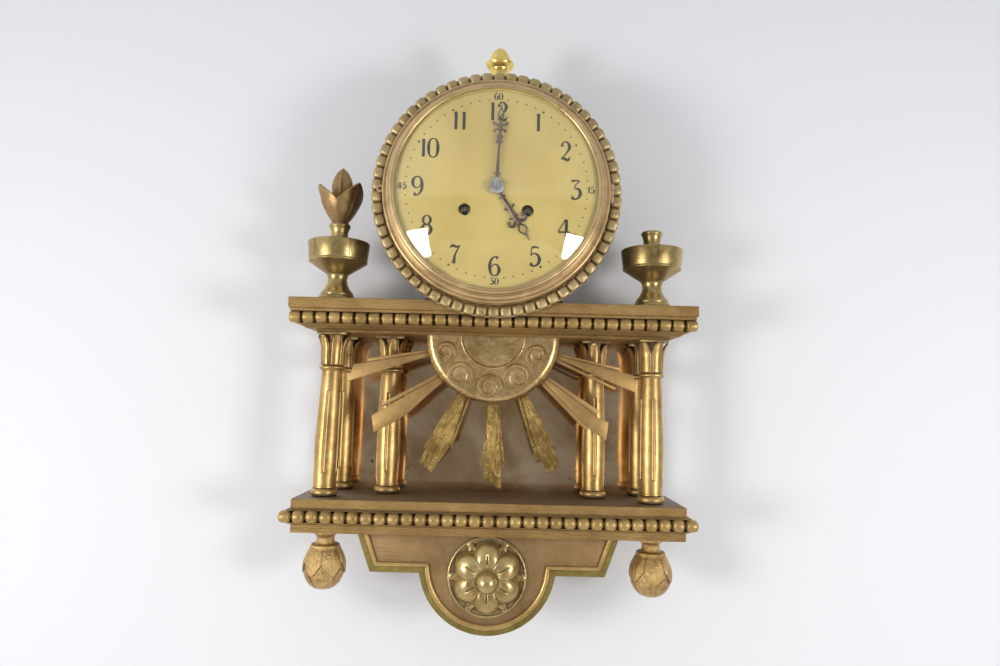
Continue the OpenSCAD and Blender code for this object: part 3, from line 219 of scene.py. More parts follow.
# Points nearer than this are one.
WELD = 0.000004
EASED = 0.0007


def gilding(
    name, gold, shade, rough, wear=0.5, dirt_and_shade=0.6, lumps=0.2, hammered=0.0, metal=0.82,
    grain_size=(520, 300, 190), grain_turn=0.0,
):
    """Old gold leaf on carved wood: cloudy gold, rubbed edges, and hollows darkened by dirt and
    painted shade.
    """
    material, tree, leaf = new_material(name)
    place = object_place(tree)
    clouds = noise(tree, place, 34, 6, 0.62)
    patches = noise(tree, place, 150, 5, 0.65, 0.6)
    grain = noise(tree, place, 900, 4, 0.6)
    light = tuple(min(1, 1.2 * c) for c in gold)
    body = mixed_colour(tree, grey_ramp(tree, clouds, 0.36, 0.66), shade, gold)
    body = mixed_colour(tree, grey_ramp(tree, patches, 0.5, 0.74, 0, 0.5), body, light)
    body = mixed_colour(tree, grey_ramp(tree, grain, 0.62, 0.36, 0, 0.3), body, shade, "MULTIPLY")
    edges = grey_ramp(tree, occlusion(tree, EDGE_REACH, 5, True), 0.86, 0.5)
    spots = grey_ramp(tree, noise(tree, place, 210, 6, 0.7), 0.50, 0.60)
    worn = combined(tree, combined(tree, edges, spots), wear)
    body = mixed_colour(tree, worn, body, RED_GROUND)
    # Dirt and painted shade: hollows found by occlusion are darkened, as recesses in shade look.
    grime_and_shade = combined(tree, grey_ramp(tree, occlusion(tree, DIRT_AND_SHADE_REACH, 6), 0.80, 0.16), dirt_and_shade)
    body = mixed_colour(tree, grime_and_shade, body, HOLLOW_DIRT_AND_SHADE)
    shine = grey_ramp(tree, patches, 0.3, 0.75, rough - 0.07, rough + 0.13)
    relief = bump(tree, patches, lumps, 0.0006)
    if hammered:
        inputs = {"Vector": place, "Rotation": (0, grain_turn, 0)}
        inputs["Scale"] = tuple(1 / size for size in grain_size)
        turned_place = add_node(tree, "ShaderNodeMapping", inputs, vector_type="TEXTURE").outputs[0]
        dents = noise(tree, turned_place, 1, 4, 0.75)
        darker = grey_ramp(tree, dents, 0.58, 0.36, 0, hammered)
        body = mixed_colour(tree, darker, body, shade)
        relief = bump(tree, dents, hammered, 0.0024, relief)
    set_inputs(
        tree,
        leaf,
        {
            "Base Color": body,
            "Roughness": combined(tree, shine, combined(tree, grime_and_shade, 0.4), "ADD"),
            "Metallic": combined(tree, metal, combined(tree, worn, grime_and_shade, "ADD"), "SUBTRACT"),
            "Normal": bump(tree, grain, 0.25, 0.0002, relief),
        },
    )
    return material


def dust_tops(material, colour):
    """Paints shade on what faces straight up: a darker, matt top with no metal shine."""
    tree = material.node_tree
    leaf = tree.nodes["Principled BSDF"]
    facing = add_node(tree, "ShaderNodeNewGeometry").outputs["Normal"]
    level = add_node(tree, "ShaderNodeSeparateXYZ", {0: facing}).outputs["Z"]
    upward = grey_ramp(tree, level, 0.8, 0.95)
    for socket, value in (("Base Color", colour), ("Metallic", 0.0), ("Roughness", 0.62)):
        before = leaf.inputs[socket].links[0].from_socket
        if socket == "Base Color":
            after = mixed_colour(tree, upward, before, value)
        else:
            inputs = {0: upward, 2: before, 3: value}
            after = add_node(tree, "ShaderNodeMix", inputs, data_type="FLOAT").outputs[0]
        tree.links.new(after, leaf.inputs[socket])


def only(piece):
    """Makes a piece the one selected and active object."""
    bpy.ops.object.select_all(action="DESELECT")
    piece.select_set(True)
    bpy.context.view_layer.objects.active = piece


def settle(piece):
    """Puts a piece's place, turn and size into its mesh."""
    only(piece)
    bpy.ops.object.transform_apply(location=True, rotation=True, scale=True)


def fit(piece, name, material, body="case", nodes=(), angle=32):
    """Names a finished piece, gives it its finish and body, and hides the nodes it stands for."""
    only(piece)
    piece.name = name
    piece.data.materials.clear()
    piece.data.materials.append(material)
    bpy.ops.object.shade_smooth_by_angle(angle=math.radians(angle))
    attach(piece, body)
    if nodes:
        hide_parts(*nodes)
    return piece


def open_mesh(piece):
    """Opens a piece in edit mode with all of it selected."""
    only(piece)
    bpy.ops.object.mode_set(mode="EDIT")
    bpy.ops.mesh.select_all(action="SELECT")


def bevelled(piece, width, segments, angle=30):
    """Rounds a piece's sharp edges for good."""
    only(piece)
    edge = piece.modifiers.new("edge", "BEVEL")
    edge.width = width
    edge.segments = segments
    edge.limit_method = "ANGLE"
    edge.angle_limit = math.radians(angle)
    bpy.ops.object.modifier_apply(modifier="edge")
    return piece


def eased_copy(node, width):
    """A copy of a node as one skin, with its sharp edges eased as old woodwork's are."""
    piece = bpy.data.objects.new(node + "_skin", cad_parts[node].data.copy())
    bpy.context.scene.collection.objects.link(piece)
    open_mesh(piece)
    bpy.ops.mesh.remove_doubles(threshold=WELD)
    bpy.ops.mesh.dissolve_limited(angle_limit=math.radians(0.5))
    bpy.ops.object.mode_set(mode="OBJECT")
    return bevelled(piece, width, 2, 34)


old_gold = gilding(
    "old_gold", (0.43, 0.280, 0.105), (0.29, 0.175, 0.060), 0.44, 0.45, 0.8,
    hammered=0.55, grain_size=(60, 420, 520),
)
# Painted shade on the tops of the cornice and the shelf.
dust_tops(old_gold, (0.155, 0.096, 0.044))
fit(eased_copy("cornice", EASED), "cornice_boards", old_gold, nodes=("cornice",))
fit(eased_copy("lower_shelf", EASED), "shelf_boards", old_gold, nodes=("lower_shelf",))

# Bead rows: turned beads of gilded wood strung on wires in the channels of the
# cornice and the shelf. The upper ones are squarer, and worn pale at their edges.
BEAD_R = 0.0061
BEAD_PITCH = 0.01343
WIRE_R = 0.0016
# Each row: half its width, its depth, its height, and its beads' length and rounding.
BEAD_ROWS = [
    ("cornice_beads", 0.2022, 0.1102, -0.2020, 0.0112, 0.0022),
    ("shelf_beads", 0.2020, 0.1122, -0.4020, 0.0121, 0.0040),
]
SIDE_BEADS = 6


def own_copy(piece):
    """A copy with its own mesh."""
    made = piece.copy()
    made.data = piece.data.copy()
    bpy.context.scene.collection.objects.link(made)
    return made


def joined(pieces):
    """Several meshes made one."""
    bpy.ops.object.select_all(action="DESELECT")
    for piece in pieces:
        piece.select_set(True)
    bpy.context.view_layer.objects.active = pieces[0]
    bpy.ops.object.join()
    return bpy.context.object


def rod(first, last, radius):
    """A plain wire between two points."""
    first, last = Vector(first), Vector(last)
    line = last - first
    piece = begun(
        bpy.ops.mesh.primitive_cylinder_add,
        vertices=12,
        radius=radius,
        depth=line.length,
        location=(first + last) / 2,
    )
    piece.rotation_euler = line.to_track_quat("Z", "Y").to_euler()
    settle(piece)
    return bevelled(piece, radius * 0.2, 1)


bead_gold = gilding(
    "bead_gold", (0.60, 0.42, 0.165), (0.38, 0.245, 0.085), 0.44, 0.6, 0.85, 0.6, metal=0.84
)
for row, half, depth, z, length, ease in BEAD_ROWS:
    bead = begun(
        bpy.ops.mesh.primitive_cylinder_add,
        vertices=20,
        radius=BEAD_R,
        depth=length,
        rotation=(0, math.pi / 2, 0),
    )
    settle(bead)
    bevelled(bead, ease, 3)
    front_count = round(2 * half / BEAD_PITCH)
    spots = [(-half + 2 * half * i / front_count, -depth, 0) for i in range(front_count + 1)]
    ends = -depth + SIDE_BEADS * BEAD_PITCH
    for side in (-1, 1):
        for i in range(1, SIDE_BEADS + 1):
            spots.append((side * half, -depth + i * BEAD_PITCH, math.pi / 2))
    beads = []
    for i, (x, y, turn) in enumerate(spots):
        one = own_copy(bead)
        one.rotation_euler = (0.9 * i, 0.05 * math.sin(5 * i), turn + 0.06 * math.sin(3 * i))
        one.location = (x, y, z + 0.0002 * math.sin(7 * i))
        settle(one)
        beads.append(one)
    bpy.data.objects.remove(bead)
    beads.append(rod((-half, -depth, z), (half, -depth, z), WIRE_R))
    for side in (-1, 1):
        beads.append(rod((side * half, -depth, z), (side * half, ends, z), WIRE_R))
    fit(joined(beads), row + "_turned", bead_gold, nodes=(row,))

# Backboard, the tongue behind the head, the saddle under it and the drum: dark stained
# softwood with a long open grain. Screws and glue hold them; only edges show.
WOOD_DUST = (0.22, 0.18, 0.14)


def stretched(tree, place, scale):
    """A place drawn out, for grain and streaks."""
    return add_node(tree, "ShaderNodeMapping", {"Vector": place, "Scale": scale}).outputs[0]


def stained_wood(name, dark, light):
    """Dark stained wood with its grain along the height."""
    material, tree, wood = new_material(name)
    place = object_place(tree)
    rings = noise(tree, stretched(tree, place, (38, 38, 2.6)), 5, 7, 0.68, 1.4)
    pores = noise(tree, stretched(tree, place, (900, 900, 30)), 1, 3)
    body = mixed_colour(tree, grey_ramp(tree, rings, 0.34, 0.68), dark, light)
    body = mixed_colour(tree, grey_ramp(tree, pores, 0.5, 0.35, 0, 0.6), body, dark)
    dusty = grey_ramp(tree, noise(tree, place, 18, 5), 0.5, 0.8, 0, 0.28)
    inputs = {"Base Color": mixed_colour(tree, dusty, body, WOOD_DUST)}
    inputs["Roughness"] = grey_ramp(tree, rings, 0.3, 0.7, 0.5, 0.72)
    inputs["Normal"] = bump(tree, pores, 0.4, 0.0004)
    set_inputs(tree, wood, inputs)
    return material


def dress(material, *nodes):
    """Gives nodes of the part a finish, in place of what they have."""
    for node in nodes:
        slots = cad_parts[node].data.materials
        slots.clear()
        slots.append(material)


dark_wood = stained_wood("dark_wood", (0.022, 0.013, 0.008), (0.085, 0.052, 0.030))
for board in ("backboard", "back_tongue", "drum_saddle", "drum_back"):
    fit(eased_copy(board, 0.0008), board + "_wood", dark_wood, nodes=(board,))
dress(dark_wood, "drum_case")

# Mirror pane: old silvered glass behind the columns, greyed and spotted near its lower
# edge, where damp has eaten the silver.
SPOTS_BY_HEIGHT = (-0.30, -0.385, 0.05, 0.20)
BARE_BACK = (0.03, 0.02, 0.016)
old_mirror, tree, silver = new_material("old_mirror")
place = object_place(tree)
haze = noise(tree, place, 13, 6, 0.6, 0.8)
pane_colour = mixed_colour(
    tree, grey_ramp(tree, haze, 0.35, 0.7), (0.55, 0.32, 0.145), (0.96, 0.74, 0.47)
)
inputs = {"Vector": place, "Scale": 95}
specks = add_node(tree, "ShaderNodeTexVoronoi", inputs).outputs["Distance"]
height = add_node(tree, "ShaderNodeSeparateXYZ", {0: place}).outputs["Z"]
low_down = grey_ramp(tree, height, *SPOTS_BY_HEIGHT)
spot = add_node(tree, "ShaderNodeMath", {0: specks, 1: low_down}, operation="LESS_THAN").outputs[0]
spotted = combined(tree, spot, grey_ramp(tree, noise(tree, place, 30), 0.5, 0.6))
set_inputs(
    tree,
    silver,
    {
        "Base Color": mixed_colour(tree, spotted, pane_colour, BARE_BACK),
        "Metallic": combined(tree, 0.93, spotted, "SUBTRACT"),
        "Roughness": grey_ramp(tree, haze, 0.3, 0.75, 0.05, 0.17),
    },
)
dress(old_mirror, "mirror_glass")

# Columns: turned and gilded wood, four free and two halves against the mirror. The
# shaft swells low down and has five round-ended flutes. Six hollow leaves with raised
# edges are carved round the capital, under a thin square plate.
COLUMN_HEIGHT = 0.1697
SHAFT_R = 0.0128
NECK_R = 0.0104
SHAFT_FOOT = 0.0106
PLATE_T = 0.0022
SHAFT_HEAD = COLUMN_HEIGHT - 0.0394
PLATE_Z = COLUMN_HEIGHT - PLATE_T
CAPITAL_Z = SHAFT_HEAD + 0.0056
PLATE_SIDE = 0.031
FLUTES = 5
FLUTE_R = 0.0025
FLUTE_LOW = 0.026
FLUTE_HIGH = 0.107
SHELF_TOP = -0.3852
SIDE_X = 0.168
SIDE_DEPTH = 0.0795
# Each free column's place, the turn of its leaves and how far its foot leans out.
COLUMN_SPOTS = [
    ("column_front_left", -SIDE_X, SIDE_DEPTH, -38, 0.0040),
    ("column_front_right", SIDE_X, SIDE_DEPTH, -42, 0),
    ("column_inner_left", -0.112, 0.0455, 14, 0),
    ("column_inner_right", 0.112, 0.0455, -8, 0),
]
MIRROR_FACE = 0.018
SWELL_END = 0.35
PROFILE_ROWS = 26
CAPITAL_ROWS = 8
PLATE_CURVE = 0.0018
PLATE_EASE = 0.0004
LEAF_T = 0.0012
# A ring this small is a point, as a profile starts and ends in one.
POINT = 1e-6


def shaft_radius(z):
    """Radius of the shaft at a height: a swelling low down and a slow taper above it."""
    t = (z - SHAFT_FOOT) / (SHAFT_HEAD - SHAFT_FOOT)
    low = 0.0012 * max(0, (SWELL_END - t) / SWELL_END) ** 2
    taper = max(0, (t - SWELL_END) / (1 - SWELL_END)) ** 1.5
    return SHAFT_R - (SHAFT_R - NECK_R) * taper - low


def turned(profile, segments=96):
    """A turned piece about the Z axis: a ring drawn up step by step along its profile."""
    radius, height = profile[0]
    piece = begun(
        bpy.ops.mesh.primitive_circle_add,
        vertices=segments,
        radius=max(radius, POINT),
        location=(0, 0, height),
    )
    settle(piece)
    open_mesh(piece)
    for next_radius, next_height in profile[1:]:
        bpy.ops.mesh.extrude_edges_move(
            TRANSFORM_OT_translate={"value": (0, 0, next_height - height)}
        )
        share = max(next_radius, POINT) / max(radius, POINT)
        bpy.ops.transform.resize(value=(share, share, 1), center_override=(0, 0, next_height))
        radius, height = next_radius, next_height
    bpy.ops.mesh.select_all(action="SELECT")
    bpy.ops.mesh.remove_doubles(threshold=WELD)
    bpy.ops.mesh.normals_make_consistent(inside=False)
    bpy.ops.object.mode_set(mode="OBJECT")
    return piece


def arc(centre_r, centre_z, radius, start, end, steps=8):
    """Points of a round moulding in a profile, between two angles in degrees."""
    points = []
    for i in range(steps + 1):
        a = math.radians(start + (end - start) * i / steps)
        points.append((centre_r + radius * math.cos(a), centre_z + radius * math.sin(a)))
    return points


def carved_sheet(across, along, place, thickness):
    """A carved leaf: a grid whose points go where place(u, v) says, given a thickness."""
    settings = {"x_subdivisions": across, "y_subdivisions": along, "size": 2}
    piece = begun(bpy.ops.mesh.primitive_grid_add, **settings)
    for vertex in piece.data.vertices:
        vertex.co = place(vertex.co.x, (vertex.co.y + 1) / 2)
    open_mesh(piece)
    bpy.ops.mesh.remove_doubles(threshold=WELD)
    bpy.ops.object.mode_set(mode="OBJECT")
    sheet = piece.modifiers.new("sheet", "SOLIDIFY")
    sheet.thickness = thickness
    sheet.offset = -1
    bpy.ops.object.modifier_apply(modifier="sheet")
    return piece


def carve(body, cutter):
    """Cuts one piece's shape out of another."""
    only(body)
    cut = body.modifiers.new("cut", "BOOLEAN")
    cut.operation = "DIFFERENCE"
    cut.solver = "EXACT"
    cut.object = cutter
    bpy.ops.object.modifier_apply(modifier="cut")
    bpy.data.objects.remove(cutter)


def half_cut(piece, face):
    """Cuts away what is behind a level across the depth, and closes the cut."""
    open_mesh(piece)
    bpy.ops.mesh.bisect(
        plane_co=(0, face, 0), plane_no=(0, 1, 0), clear_outer=True, use_fill=True
    )
    bpy.ops.object.mode_set(mode="OBJECT")


def polar(r, a, z):
    """A point at a radius, an angle and a height."""
    return Vector((r * math.cos(a), r * math.sin(a), z))


def ridge(x, width):
    """A smooth hump of height one at zero: a raised or, taken off, a sunk line."""
    return math.exp(-((x / width) ** 2))


def capital_radius(share):
    """How far the capital's leaves stand out at a share of their height."""
    return NECK_R + 0.0010 + 0.0014 * share + 0.0042 * max(0, (share - 0.45) / 0.55) ** 2.2


def capital_leaf(turn, tall):
    """One leaf of the capital: a full belly, a groove round it and a raised edge."""

    def place(u, v):
        narrow = (1 - max(0, (v - 0.56) / 0.44) ** 2.0) ** 0.62 if v < 1 else 0
        side = abs(u)
        rim = 0.0011 * ridge(side - 0.93, 0.055)
        groove = -0.0008 * ridge(side - 0.78, 0.08) * min(1, 6 * (1 - v))
        belly = 0.0008 * (1 - u * u) * min(1, 5 * (1 - v))
        r = capital_radius(v) + rim + groove + belly
        a = turn + u * math.pi / 6 * (0.97 * narrow)
        return polar(r, a, CAPITAL_Z + 0.0003 + tall * v)

    return carved_sheet(41, 30, place, LEAF_T)


def column_piece(leaf_deg):
    """A whole column on the origin, with a leaf at an angle from its front."""
    profile = [(0, 0), (0.0126, 0)]
    profile += arc(0.0098, 0.0044, 0.0043, -80, 80)
    profile += [(0.0121, 0.0092), (0.0121, 0.0102), (0.0116, SHAFT_FOOT)]
    for i in range(PROFILE_ROWS + 1):
        z = SHAFT_FOOT + (SHAFT_HEAD - SHAFT_FOOT) * i / PROFILE_ROWS
        profile.append((shaft_radius(z), z))
    profile += [(NECK_R + 0.0014, SHAFT_HEAD)]
    profile += arc(NECK_R + 0.0014, SHAFT_HEAD + 0.0026, 0.002, -80, 80)
    profile += [(NECK_R + 0.0006, CAPITAL_Z)]
    for i in range(1, CAPITAL_ROWS + 1):
        share = i / CAPITAL_ROWS
        profile.append((NECK_R + 0.0004, CAPITAL_Z + (PLATE_Z - CAPITAL_Z) * share))
    profile += [(0, PLATE_Z)]
    body = turned(profile)
    cutters = []
    for i in range(FLUTES):
        turn = i * 2 * math.pi / FLUTES - math.pi / 2
        settings = {"segments": 20, "ring_count": 12, "radius": FLUTE_R}
        cutter = begun(bpy.ops.mesh.primitive_uv_sphere_add, **settings)
        for vertex in cutter.data.vertices:
            end = FLUTE_HIGH if vertex.co.z > 0 else FLUTE_LOW
            r = shaft_radius(end) + 0.4 * FLUTE_R
            vertex.co.x += r * math.cos(turn)
            vertex.co.y += r * math.sin(turn)
            vertex.co.z += end
        cutters.append(cutter)
    carve(body, joined(cutters))
    tall = PLATE_Z - CAPITAL_Z - 0.0008
    first = math.radians(leaf_deg - 90)
    leaves = [capital_leaf(first + math.pi * i / 3, tall) for i in range(6)]
    settings = {"size": PLATE_SIDE, "location": (0, 0, PLATE_Z + PLATE_T / 2)}
    plate = begun(bpy.ops.mesh.primitive_cube_add, **settings)
    plate.scale = (1, 1, PLATE_T / PLATE_SIDE)
    settle(plate)
    open_mesh(plate)
    bpy.ops.mesh.subdivide(number_cuts=9)
    bpy.ops.object.mode_set(mode="OBJECT")
    reach = PLATE_SIDE / 2
    for vertex in plate.data.vertices:
        x, y = vertex.co.x, vertex.co.y
        vertex.co.x -= PLATE_CURVE * (1 - (y / reach) ** 2) * x / reach
        vertex.co.y -= PLATE_CURVE * (1 - (x / reach) ** 2) * y / reach
    bevelled(plate, PLATE_EASE, 2)
    return joined([body, plate] + leaves)


column_gold = gilding(
    "column_gold", (0.66, 0.455, 0.185), (0.42, 0.265, 0.095), 0.38, 0.45, 1.0, 0.25, metal=0.9
)
for spot_name, x, depth, leaf_deg, lean in COLUMN_SPOTS:
    column = column_piece(leaf_deg)
    for vertex in column.data.vertices:
        vertex.co.x -= lean * (1 - vertex.co.z / COLUMN_HEIGHT)
    if spot_name.startswith("column_inner"):
        half = own_copy(column)
        half_name = spot_name.replace("column_inner", "half_column")
        half.location = (math.copysign(SIDE_X, x), -MIRROR_FACE, SHELF_TOP)
        settle(half)
        half_cut(half, -MIRROR_FACE)
        fit(half, half_name + "_carved", column_gold, nodes=(half_name,))
    column.location = (x, -depth, SHELF_TOP)
    settle(column)
    fit(column, spot_name + "_carved", column_gold, nodes=(spot_name,))

# Half sun under the cornice: a carved disc with a round rim, five scrolls and a plain
# half disc in the middle, and seven flat rays with narrow reeds fixed behind it.
SUN_Z = -0.2155
SUN_DEPTH = 0.080
SUN_R = 0.0702
SCROLL_Z = 0.0084
DOME_Z = 0.0078
SCROLL_KNOTS = 24
SCROLL_START = 1.5
SCROLL_TURNS = 1.12
SCROLL_R = 0.0023
DOME_FLATTENED = 0.16
# Each scroll: its middle, its size and its hand.
SCROLLS = [
    (-0.0500, -0.0172, 0.0106, 1),
    (-0.0345, -0.0415, 0.0138, 1),
    (-0.0030, -0.0535, 0.0130, 1),
    (0.0270, -0.0430, 0.0146, -1),
    (0.0466, -0.0190, 0.0108, -1),
]


def stand(piece, x, depth, z):
    """Turns a piece made lying flat so that it faces the viewer, and puts it in place."""
    piece.rotation_euler = (math.pi / 2, 0, 0)
    piece.location = (x, -depth, z)
    settle(piece)
    return piece


def bare_line(thickness, resolution):
    """A round line with no points yet."""
    line = begun(bpy.ops.curve.primitive_bezier_curve_add)
    line.data.splines.clear()
    line.data.dimensions = "3D"
    line.data.bevel_depth = thickness
    line.data.bevel_resolution = resolution
    line.data.use_fill_caps = True
    return line


def round_line(strokes, thickness, flat=1.0, resolution=8):
    """Raised lines on the flat, of strokes: (points (x, y, width share), closed or not)."""
    line = bare_line(thickness, 3)
    for points, closed in strokes:
        spline = line.data.splines.new("BEZIER")
        spline.resolution_u = resolution
        spline.use_cyclic_u = closed
        spline.bezier_points.add(len(points) - 1)
        for knot, (x, y, share) in zip(spline.bezier_points, points):
            knot.co = (x, y, 0)
            knot.radius = share
            knot.handle_left_type = "AUTO"
            knot.handle_right_type = "AUTO"
    only(line)
    bpy.ops.object.convert(target="MESH")
    piece = bpy.context.object
    for vertex in piece.data.vertices:
        vertex.co.z *= flat
    return piece


def flat_shape(outline, thickness):
    """A board cut to an outline: its ring of edges drawn point by point, filled, made thick."""
    mesh = bpy.data.meshes.new("board")
    mesh.from_pydata([(x, y, 0) for x, y in outline], [], [list(range(len(outline)))])
    piece = bpy.data.objects.new("board", mesh)
    bpy.context.scene.collection.objects.link(piece)
    open_mesh(piece)
    bpy.ops.mesh.extrude_region_move(TRANSFORM_OT_translate={"value": (0, 0, thickness)})
    bpy.ops.mesh.select_all(action="SELECT")
    bpy.ops.mesh.normals_make_consistent(inside=False)
    bpy.ops.object.mode_set(mode="OBJECT")
    return piece


def millimetres(points):
    """Points given in millimetres, in metres."""
    return [(r / 1000, z / 1000) for r, z in points]


sun_gold = gilding(
    "sun_gold", (0.78, 0.56, 0.27), (0.44, 0.285, 0.11), 0.28, 0.45, 1.0, 0.3,
    0.12, 0.9, (60, 300, 500),
)
sun_profile = [(0, 0), (SUN_R, 0.0002), (SUN_R, 0.0010)]
sun_profile += arc(SUN_R - 0.0078, 0.0006, 0.0078, 8, 84, 12)
sun_profile += [(0.0560, 0.0083), (0.0350, 0.0080), (0.0342, 0.0088), (0.0332, 0.0093)]
sun_profile += [(0.0322, 0.0084), (0.0314, 0.0076), (0.0300, 0.0074), (0, 0.0074)]
sun = turned(sun_profile, 160)
half_cut(sun, 0)
scroll_lines = []
domes = []
for x, y, reach, hand in SCROLLS:
    out_angle = math.atan2(y, x)
    knots = []
    for i in range(SCROLL_KNOTS + 1):
        t = i / SCROLL_KNOTS
        a = out_angle + hand * (SCROLL_START + 2 * math.pi * SCROLL_TURNS * t)
        r = reach * (1.06 - 0.66 * t**1.1)
        width = 0.5 + 0.6 * math.sin(math.pi * t)
        knots.append((x + r * math.cos(a), y + r * math.sin(a), width))
    scroll_lines.append((knots, False))
    settings = {"segments": 32, "ring_count": 16, "radius": reach * 0.66}
    dome = begun(bpy.ops.mesh.primitive_uv_sphere_add, location=(x, y, DOME_Z), **settings)
    dome.scale = (1, 1, DOME_FLATTENED)
    settle(dome)
    domes.append(dome)
scrolls = round_line(scroll_lines, SCROLL_R, 1.2, 4)
for vertex in scrolls.data.vertices:
    vertex.co.z += SCROLL_Z
sun = stand(joined([sun, scrolls] + domes), 0, SUN_DEPTH, SUN_Z)
fit(sun, "sun_carved", sun_gold, nodes=("sun_disc",))
smooth_ray_gold = gilding(
    "smooth_ray_gold", (0.50, 0.320, 0.125), (0.38, 0.235, 0.085), 0.46, 0.45, 0.7, 0.1, metal=0.8
)
RAY_FACE = 0.079
RAY_T = 0.0032
REED_T = 0.0024
REED_STEP = 0.0010
RAY_EASE = 0.0004
ROUGH_TURN = 30
# Each ray's direction, and outlines in millimetres from the middle of the sun: the
# blade's, and those of its reeds. The three lowest rays are rough and ragged.
RAYS = [
    (-72, [(-147.3, -32.4), (-152.6, -50.7), (-66, -20.9), (-66, -17.6)],
     [[(-131.6, -25), (-133.2, -28.9), (-68.1, -17.5), (-66, -14.6)]]),
    (-52, [(-126.1, -85.5), (-123, -103.4), (-91, -85.3), (-67.2, -62.6), (-49, -45), (-52, -41)],
     [[(-117.2, -73.5), (-113.7, -76.2), (-53, -41.5), (-54, -38)],
      [(-104.9, -93.8), (-102.6, -90.4), (-65.8, -59.7), (-47, -44), (-48.5, -46.5)]]),
    (-26, [(-74.6, -131.9), (-68.4, -137.4), (-61.2, -143.5), (-55.2, -134), (-50.8, -128.8),
           (-42.6, -116.2), (-24.4, -56), (-32, -54), (-66.9, -118.2)],
     [[(-70, -117.9), (-65.8, -118.8), (-33, -55), (-35, -55)],
      [(-40.8, -119), (-42.8, -117.2), (-23, -58), (-20.6, -58)]]),
    (0, [(-6.1, -136.4), (-5.8, -150), (3, -153.3), (11.9, -160.9), (11.2, -130.4), (9.2, -97),
         (4.2, -62), (-3.2, -62), (-4.4, -91.8)],
     [[(-10.2, -136.7), (-6.8, -136), (-3.9, -85.5), (-3.7, -63), (-4.3, -63), (-6.3, -108.5)],
      [(15.7, -138.6), (13, -137.4), (5, -63), (6.9, -63)]]),
    (26, [(58, -139.1), (63.3, -140.8), (72.4, -134), (66.3, -112.5), (53, -87.3), (34, -55),
          (28.6, -56), (40.9, -95.8), (50.9, -122)],
     [[(49.2, -131.6), (53.4, -129), (40, -95.7), (28, -57), (25, -57)]]),
    (52, [(123.6, -86.9), (121.2, -106.1), (103, -94.4), (77.4, -68.8), (51.5, -42.5),
          (53.5, -40), (113, -82.6)],
     [[(114.1, -75.5), (110.8, -80.5), (54, -39.6), (54, -37.4)],
      [(98.8, -95.9), (102.5, -92.9), (51.5, -43), (49.4, -46.2)]]),
    (72, [(150.2, -37), (152.1, -55.4), (132.7, -48.3), (68, -20), (68, -18.2)],
     [[(135.6, -29.3), (134.7, -32.3), (68, -17.6), (68, -15.2)],
      [(129.7, -52.9), (131.2, -50.7), (67, -21), (65, -23.6)]]),
]
for number, (turn_deg, blade, reeds) in enumerate(RAYS):
    if abs(turn_deg) < ROUGH_TURN:
        ray_gold = gilding(
            "rough_ray_gold_%d" % number, (0.74, 0.52, 0.18), (0.20, 0.115, 0.03), 0.27, 0.5, 0.7,
            0.4, 1.0, 0.92, (700, 300, 85), math.radians(-turn_deg),
        )
    else:
        ray_gold = smooth_ray_gold
    parts = []
    strips = [(blade, RAY_FACE, RAY_T)]
    strips += [(reed, RAY_FACE - REED_STEP, REED_T) for reed in reeds]
    for outline, face, thickness in strips:
        strip = flat_shape(millimetres(outline), thickness)
        bevelled(strip, RAY_EASE, 2)
        parts.append(stand(strip, 0, face - thickness, SUN_Z))
    fit(joined(parts), "ray_%d" % (number + 1), ray_gold, nodes=("sun_rays",))

# Apron: a shaped board under the shelf. A raised half-round moulding follows its sides
# and its round drop, inside a flat edge that has gone green.
SHELF_UNDER = -0.4183
APRON_DEPTH = 0.100
APRON_HALF = 0.132
APRON_STEP = 0.0382
APRON_SLANT = 0.014
DROP_R = 0.069
DROP_DOWN = 0.0287
EDGE_BAND = 0.0062
MOULDING_R = 0.0028
BOARD_T = 0.012
DROP_STEPS = 24


def apron_path(inset):
    """Half the apron's outline from its top left corner to the drop's lowest point."""
    slope = APRON_SLANT / APRON_STEP
    side = inset * math.hypot(1, slope)
    low = APRON_STEP - inset
    r = DROP_R - inset
    points = [(-APRON_HALF + side, 0), (-APRON_HALF + side + slope * low, -low)]
    start = math.asin((low - DROP_DOWN) / r)
    for i in range(DROP_STEPS + 1):
        a = start + (math.pi / 2 - start) * i / DROP_STEPS
        points.append((-r * math.cos(a), -DROP_DOWN - r * math.sin(a)))
    return points


def whole_path(inset):
    """The apron's outline from left to right."""
    half = apron_path(inset)
    return half + [(-x, y) for x, y in reversed(half[:-1])]


apron_field_gold = gilding(
    "apron_gold", (0.37, 0.245, 0.110), (0.27, 0.165, 0.068), 0.50, 0.3, 0.6, 0.1,
    0.3, 0.75, (60, 300, 420),
)
apron_strip_gold = gilding(
    "strip_gold", (0.66, 0.46, 0.19), (0.46, 0.30, 0.10), 0.38, 0.5, 0.7, 0.3
)
green_gold = gilding("green_gold", (0.36, 0.30, 0.08), (0.19, 0.15, 0.035), 0.5, 0.6, 0.5, 0.7)
board = flat_shape(whole_path(0), BOARD_T)
bevelled(board, 0.0012, 2)
stand(board, 0, APRON_DEPTH - BOARD_T, SHELF_UNDER)
fit(board, "apron_board", apron_field_gold, nodes=("apron",))
band = flat_shape(whole_path(0.0006) + list(reversed(whole_path(EDGE_BAND))), 0.0008)
stand(band, 0, APRON_DEPTH, SHELF_UNDER)
fit(bevelled(band, 0.0003, 1), "apron_edge_band", green_gold)
strip_points = whole_path(EDGE_BAND + 0.0022)
strip_line = bare_line(MOULDING_R, 5)
strip_spline = strip_line.data.splines.new("POLY")
strip_spline.points.add(len(strip_points) - 1)
for knot, (x, y) in zip(strip_spline.points, strip_points):
    knot.co = (x, y, 0, 1)
bpy.ops.object.convert(target="MESH")
strip = stand(bpy.context.object, 0, APRON_DEPTH + 0.0002, SHELF_UNDER)
fit(strip, "apron_moulding", apron_strip_gold, angle=50)

